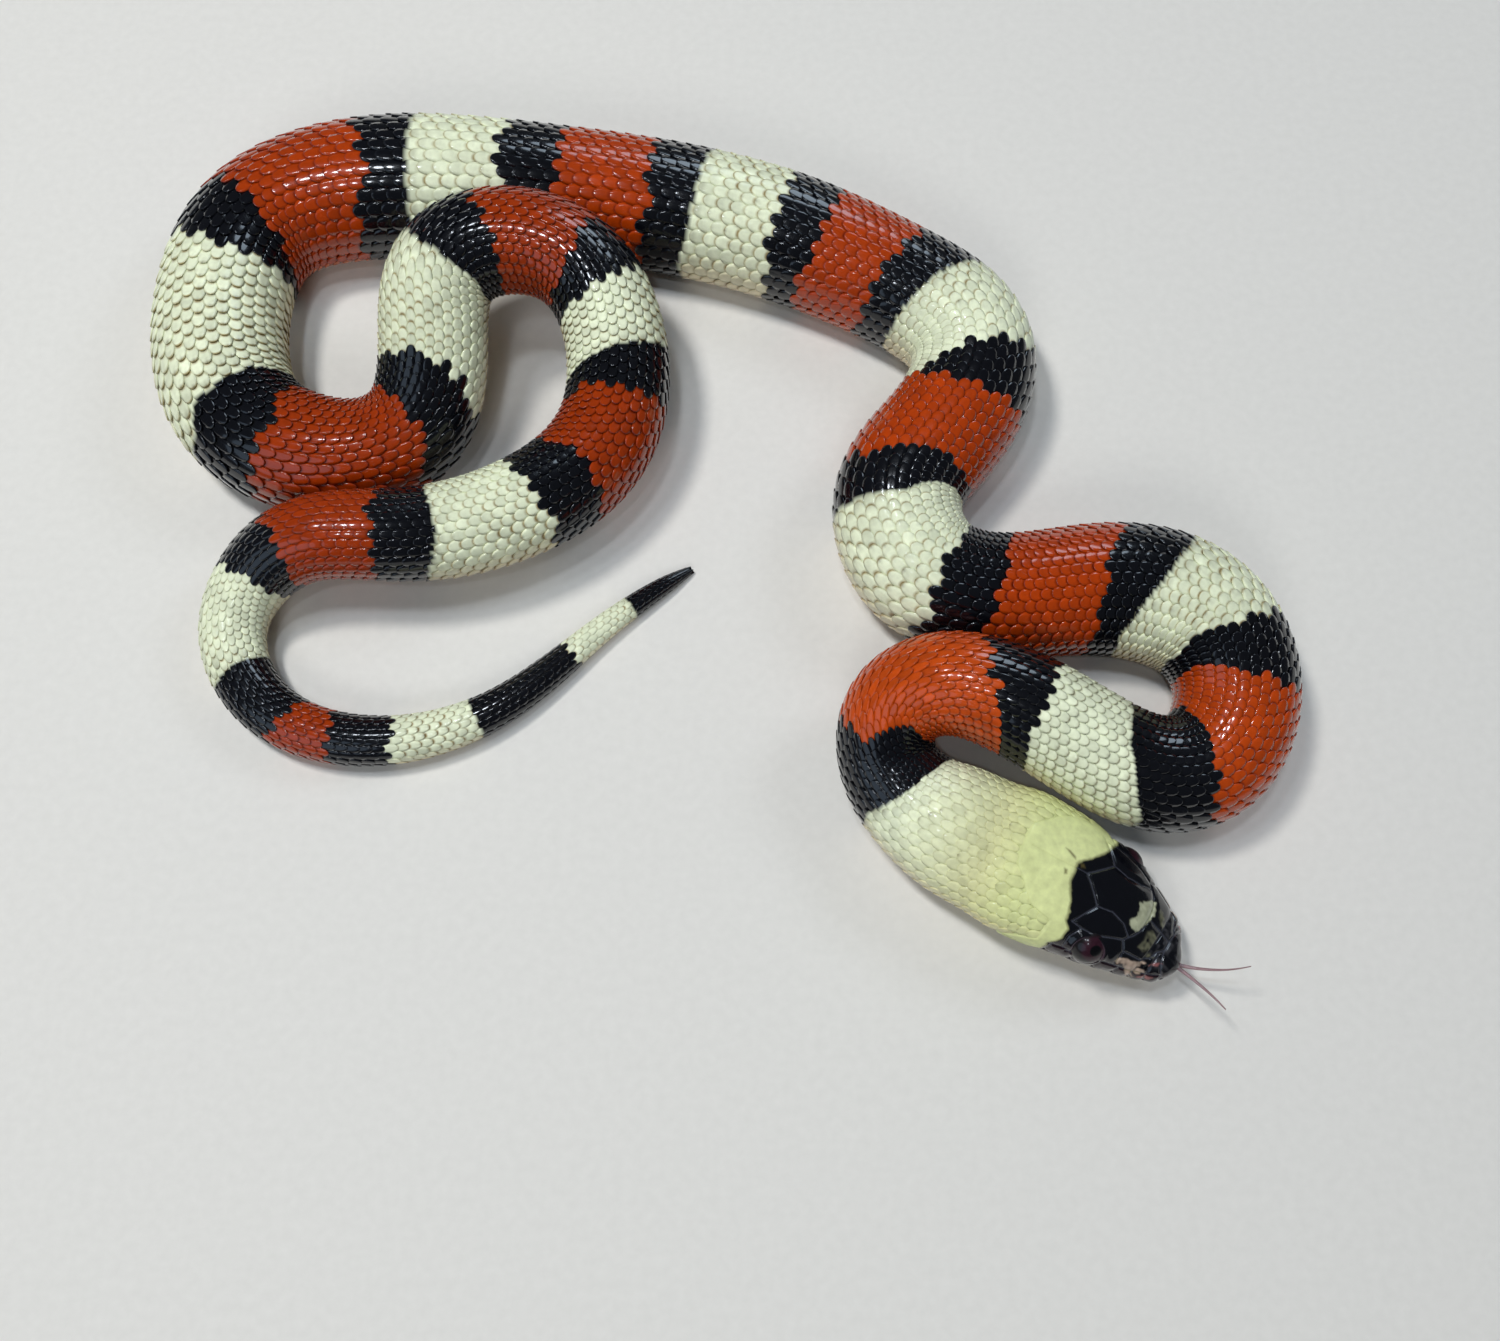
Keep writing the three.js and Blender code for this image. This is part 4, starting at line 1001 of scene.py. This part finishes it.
def scale_colours(root_s, root_g, length, template, laid_s, laid_g):
    """Colours of scales, one ring's colour for each with darker tips, and how strong their rims and the
    painted shade in their seams are.
    Only the edge from cream to the black behind it runs straight across the scales."""
    place, _, flat_across, _, _ = template
    middle = root_s + SEEN_MIDDLE * length
    angle = angle_at(middle, root_g)
    scatter = random.normal(size=len(root_s)) * EDGE_SCATTER * length
    count, since, until = ring_at(middle + scatter, angle)
    cream = IS_CREAM[count]
    red = IS_RED[count]
    nape = np.where(cream, 1 - smooth(middle, 20, 34), 0)
    colour = mixed(RING_COLOURS[count], NAPE_CREAM, nape)
    colour = mixed(colour, NECK_RED, np.where(red, 1 - smooth(middle, 50, 110), 0))
    colour = mixed(colour, HIND_RED, np.where(red, smooth(middle, 230, 280), 0))
    low = smooth(np.abs(root_g), 0.36, 0.62)
    tan_nape = NAPE_TAN * nape * smooth(middle, 19, 25)
    # Cream scales low on the flanks are tinted with a painted pink reflection. Near the head, the same tone
    # is the nape's own tan.
    colour = mixed(colour, TAN_AND_PINK_BOUNCE, np.where(cream, np.maximum(low * FLANK_PINK_BOUNCE, tan_nape), 0))
    spread = random.normal(size=(3, len(root_s)))
    colour = colour * (1 + (0.06 - 0.03 * nape) * spread[0])[:, None]
    near_next = np.clip(1 - until / (1.1 * length), 0, 1)
    whole = np.repeat(colour[:, None], len(place), axis=1)
    tip = smooth(place - 0.3 * flat_across ** 2, 0.76, 1.0)
    cloud = blotches(root_s, root_g, CLOUD_SIZE)
    tan = np.clip(0.55 + 0.3 * cloud + 0.3 * spread[1] + 0.2 * low, 0.1, 1)
    speck = np.where(cream, np.clip(0.1 + 0.5 * spread[2] + 0.4 * cloud, 0, 1) * (1 - low), 0)
    whole = mixed(whole, OLIVE, speck[:, None] * tip[None] * TIP_OLIVE)
    border = np.where(cream, near_next, 0)[:, None] * smooth(place, 0.6, 0.85)[None]
    whole = mixed(whole, OLIVE, border * BORDER_OLIVE)
    crossed = np.nonzero(np.where(cream, until < length, IS_CREAM[count - 1] & (since < length)))[0]
    own = count[crossed][:, None]
    there, _, _ = ring_at(laid_s[crossed], angle_at(laid_s[crossed], laid_g[crossed]))
    beyond = np.where(IS_CREAM[own], there > own, there < own)
    across_edge = np.where(IS_CREAM[own][..., None], BLACK, CREAM)
    whole[crossed] = np.where(beyond[..., None], across_edge, whole[crossed])
    # This share sets both the rim and the painted shade in the seams of each scale.
    rims = np.where(cream, tan, np.clip(0.6 + 0.4 * near_next + 0.2 * spread[1], 0, 1))
    rims = rims * (0.12 + 0.88 * smooth(middle, 17, 95))
    return whole, rims


laid_colours, rims = scale_colours(root_s, root_g, length, scale_template, laid_s, laid_g)
PIECES = 6
order = np.argsort(root_s, kind="stable")
for number, part in enumerate(np.array_split(order, PIECES), 1):
    leaf_mesh(f"scales_{number}", scale_template, laid[part], laid_colours[part], rims[part],
              root_s[part], root_g[part])

# Belly scutes: broad plates from flank to flank under the body, each with a free rear edge, and two
# side by side under the tail.
SCUTE_SHARE = 0.385
SCUTE_RIM = 0.5
OFF_THE_GROUND = 0.03
BELLY_RED = paint(196, 118, 88)
BELLY_CREAM = paint(226, 214, 190)
VENT = 427


def scute_width(place):
    return 1 - 0.1 * np.clip((place - 0.5) / 0.5, 0, 1) ** 2


SCUTE_ALONG = 5
SCUTE_ACROSS = 18
scute_template = leaf_template(SCUTE_ALONG, SCUTE_ACROSS, scute_width)
scute_numbers = np.arange(np.interp(SCUTES_START, fine, scale_number), scale_number[-1] - 1)
scute_s = np.interp(scute_numbers, scale_number, fine)
scute_g = np.ones(len(scute_s))
single = scute_s < VENT
under_tail = scute_s[~single]
scute_s = np.concatenate([scute_s[single], under_tail, under_tail + 0.5 * profile(PITCH, under_tail)])
scute_g = np.concatenate([scute_g[single], np.full(len(under_tail), 0.81), np.full(len(under_tail), 1.19)])
scute_half = np.where(scute_s < VENT, SCUTE_SHARE, SCUTE_SHARE * 0.52)
scute_length = profile(PITCH, scute_s) * OVERLAP
scute_swell = swell_at(scute_s) * 0.8
laid, laid_s, laid_g = lay_leaves(scute_template, scute_s, scute_g, scute_length, scute_half, scute_swell)
laid[..., 2] = np.maximum(laid[..., 2], OFF_THE_GROUND)
count, since, until = ring_at(laid_s, angle_at(laid_s, laid_g))
belly_tone = np.where(IS_RED[count][..., None], BELLY_RED, RING_COLOURS[count])
belly_tone = np.where(IS_CREAM[count][..., None], BELLY_CREAM, belly_tone)
# The scutes get their rims and painted seam shade at one strength.
scute_rims = np.full(len(scute_s), SCUTE_RIM)
leaf_mesh("belly_scutes", scute_template, laid, belly_tone, scute_rims, scute_s, scute_g)

# Eyes: round, dark red-brown, with a round pupil, each under its clear fixed scale.
PUPIL = 0.3
PUPIL_BLACK = (0.002, 0.002, 0.003, 1)
IRIS_DARK = (0.014, 0.003, 0.007, 1)
IRIS_PALE = (0.04, 0.012, 0.022, 1)
IRIS_RIM = (0.008, 0.006, 0.007, 1)
eye_material, start, shader = new_material("eye", Roughness=0.3, Coat_Weight=0.35, Coat_Roughness=0.04,
                                          Specular_IOR_Level=0.2)
from_middle = start.node("ShaderNodeAttribute", "Fac", attribute_name="from_pupil")
streaks = start.node("ShaderNodeTexNoise", 0, {"Scale": 2400.0, "Detail": 3.0,
                                               "Vector": start.node("ShaderNodeTexCoord", "Object")})
iris = start.colours(streaks, IRIS_DARK, IRIS_PALE)
colour = start.colours(from_middle.steps(PUPIL - 0.03, PUPIL + 0.02), PUPIL_BLACK, iris)
colour = start.colours(from_middle.steps(0.62, 0.8), colour, IRIS_RIM)
plug(colour, shader, "Base Color")


def eye(name, side):
    middle = on_head(EYE_PLACE, side * EYE_ANGLE)
    outward = unit(on_body(EYE_PLACE, girth_at(EYE_PLACE, side * EYE_ANGLE), 1.0) - middle)
    centre = middle - outward * EYE_SUNK
    look = unit(on_head(EYE_PLACE - 0.35, side * (EYE_ANGLE - 7)) - centre)
    bm = bmesh.new()
    bmesh.ops.create_uvsphere(bm, u_segments=48, v_segments=40, radius=EYE_RADIUS)
    turn = Vector(look).to_track_quat("Z", "Y").to_matrix()
    away = [vertex.co.normalized().angle(Vector((0, 0, 1)), 0) for vertex in bm.verts]
    bmesh.ops.rotate(bm, verts=bm.verts, matrix=turn)
    bmesh.ops.translate(bm, verts=bm.verts, vec=centre)
    bmesh.ops.scale(bm, verts=bm.verts, vec=(0.001, 0.001, 0.001))
    mesh = bpy.data.meshes.new(name)
    bm.to_mesh(mesh)
    bm.free()
    attribute = mesh.attributes.new("from_pupil", "FLOAT", "POINT")
    attribute.data.foreach_set("value", np.array(away, np.float32))
    mesh.polygons.foreach_set("use_smooth", np.ones(len(mesh.polygons), bool))
    mesh.materials.append(eye_material)
    piece = bpy.data.objects.new(name, mesh)
    scene.collection.objects.link(piece)
    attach(piece, "root")
    return piece


for name, side in (("eye_right", 1), ("eye_left", -1)):
    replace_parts(eye(name + "_globe", side), name)

# Tongue: a moist forked tongue that comes out of the notch of the upper lip and parts at once.
TONGUE_DARK = (0.2, 0.1, 0.11, 1)
TONGUE_PALE = (0.36, 0.24, 0.25, 1)
tongue_material, start, shader = new_material("tongue", Roughness=0.35, Coat_Weight=0.4,
                                              Coat_Roughness=0.15)
place = start.node("ShaderNodeTexCoord", "Object")
speckle = start.node("ShaderNodeTexNoise", 0, {"Vector": place, "Scale": 1500.0, "Detail": 3.0})
plug(start.colours(speckle, TONGUE_DARK, TONGUE_PALE), shader, "Base Color")
TONGUE_ENDS = [(7.1, 2.8, 2.4), (6.9, -1.7, -0.2)]
TONGUE_ROOT = 1.6
TONGUE_STEM = 0.9
TONGUE_RADIUS = 0.24
TONGUE_TIP = 0.08
TONGUE_AROUND = 12
NOTCH_PLACE = 1.35
lip_middle = on_head(NOTCH_PLACE, 180)
snout_middle = on_head(SNOUT + 0.02, 180)
notch = lip_middle * 0.65 + snout_middle * 0.35
along, right, crown = directions(np.array(2.0))


def tine(end):
    """Rings of corners of one tine along its bent line, which thins to its end."""
    ahead, left, up = end
    bends = [(-TONGUE_ROOT, 0, 0), (TONGUE_STEM * 0.5, 0, 0),
             (TONGUE_STEM + ahead * 0.3, left * 0.28, up * 0.2),
             (TONGUE_STEM + ahead * 0.65, left * 0.66, up * 0.55), (ahead, left, up)]
    line = spline(bends, 8)
    share = np.linspace(0, 1, len(line))
    radius = TONGUE_RADIUS + (TONGUE_TIP - TONGUE_RADIUS) * np.maximum(0, share - 0.3) / 0.7
    turn = np.arange(TONGUE_AROUND) / TONGUE_AROUND * 2 * np.pi
    middle = notch - along * line[:, :1] - right * line[:, 1:2] + crown * line[:, 2:3]
    sideways = right * np.cos(turn)[:, None] + crown * np.sin(turn)[:, None] * 0.7
    return middle[:, None] + sideways[None] * radius[:, None, None]


bm = bmesh.new()
for end in TONGUE_ENDS:
    rings = tine(end) / 1000
    rows = [[bm.verts.new(point) for point in ring] for ring in rings]
    for first, second in zip(rows, rows[1:]):
        for j in range(TONGUE_AROUND):
            after = (j + 1) % TONGUE_AROUND
            bm.faces.new((first[j], first[after], second[after], second[j]))
    bm.faces.new(rows[0])
    bm.faces.new(rows[-1][::-1])
bmesh.ops.recalc_face_normals(bm, faces=bm.faces)
mesh = bpy.data.meshes.new("tongue_flesh")
bm.to_mesh(mesh)
bm.free()
mesh.polygons.foreach_set("use_smooth", np.ones(len(mesh.polygons), bool))
mesh.materials.append(tongue_material)
tongue = bpy.data.objects.new("tongue_flesh", mesh)
scene.collection.objects.link(tongue)
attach(tongue, "root")
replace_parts(tongue, "tongue")
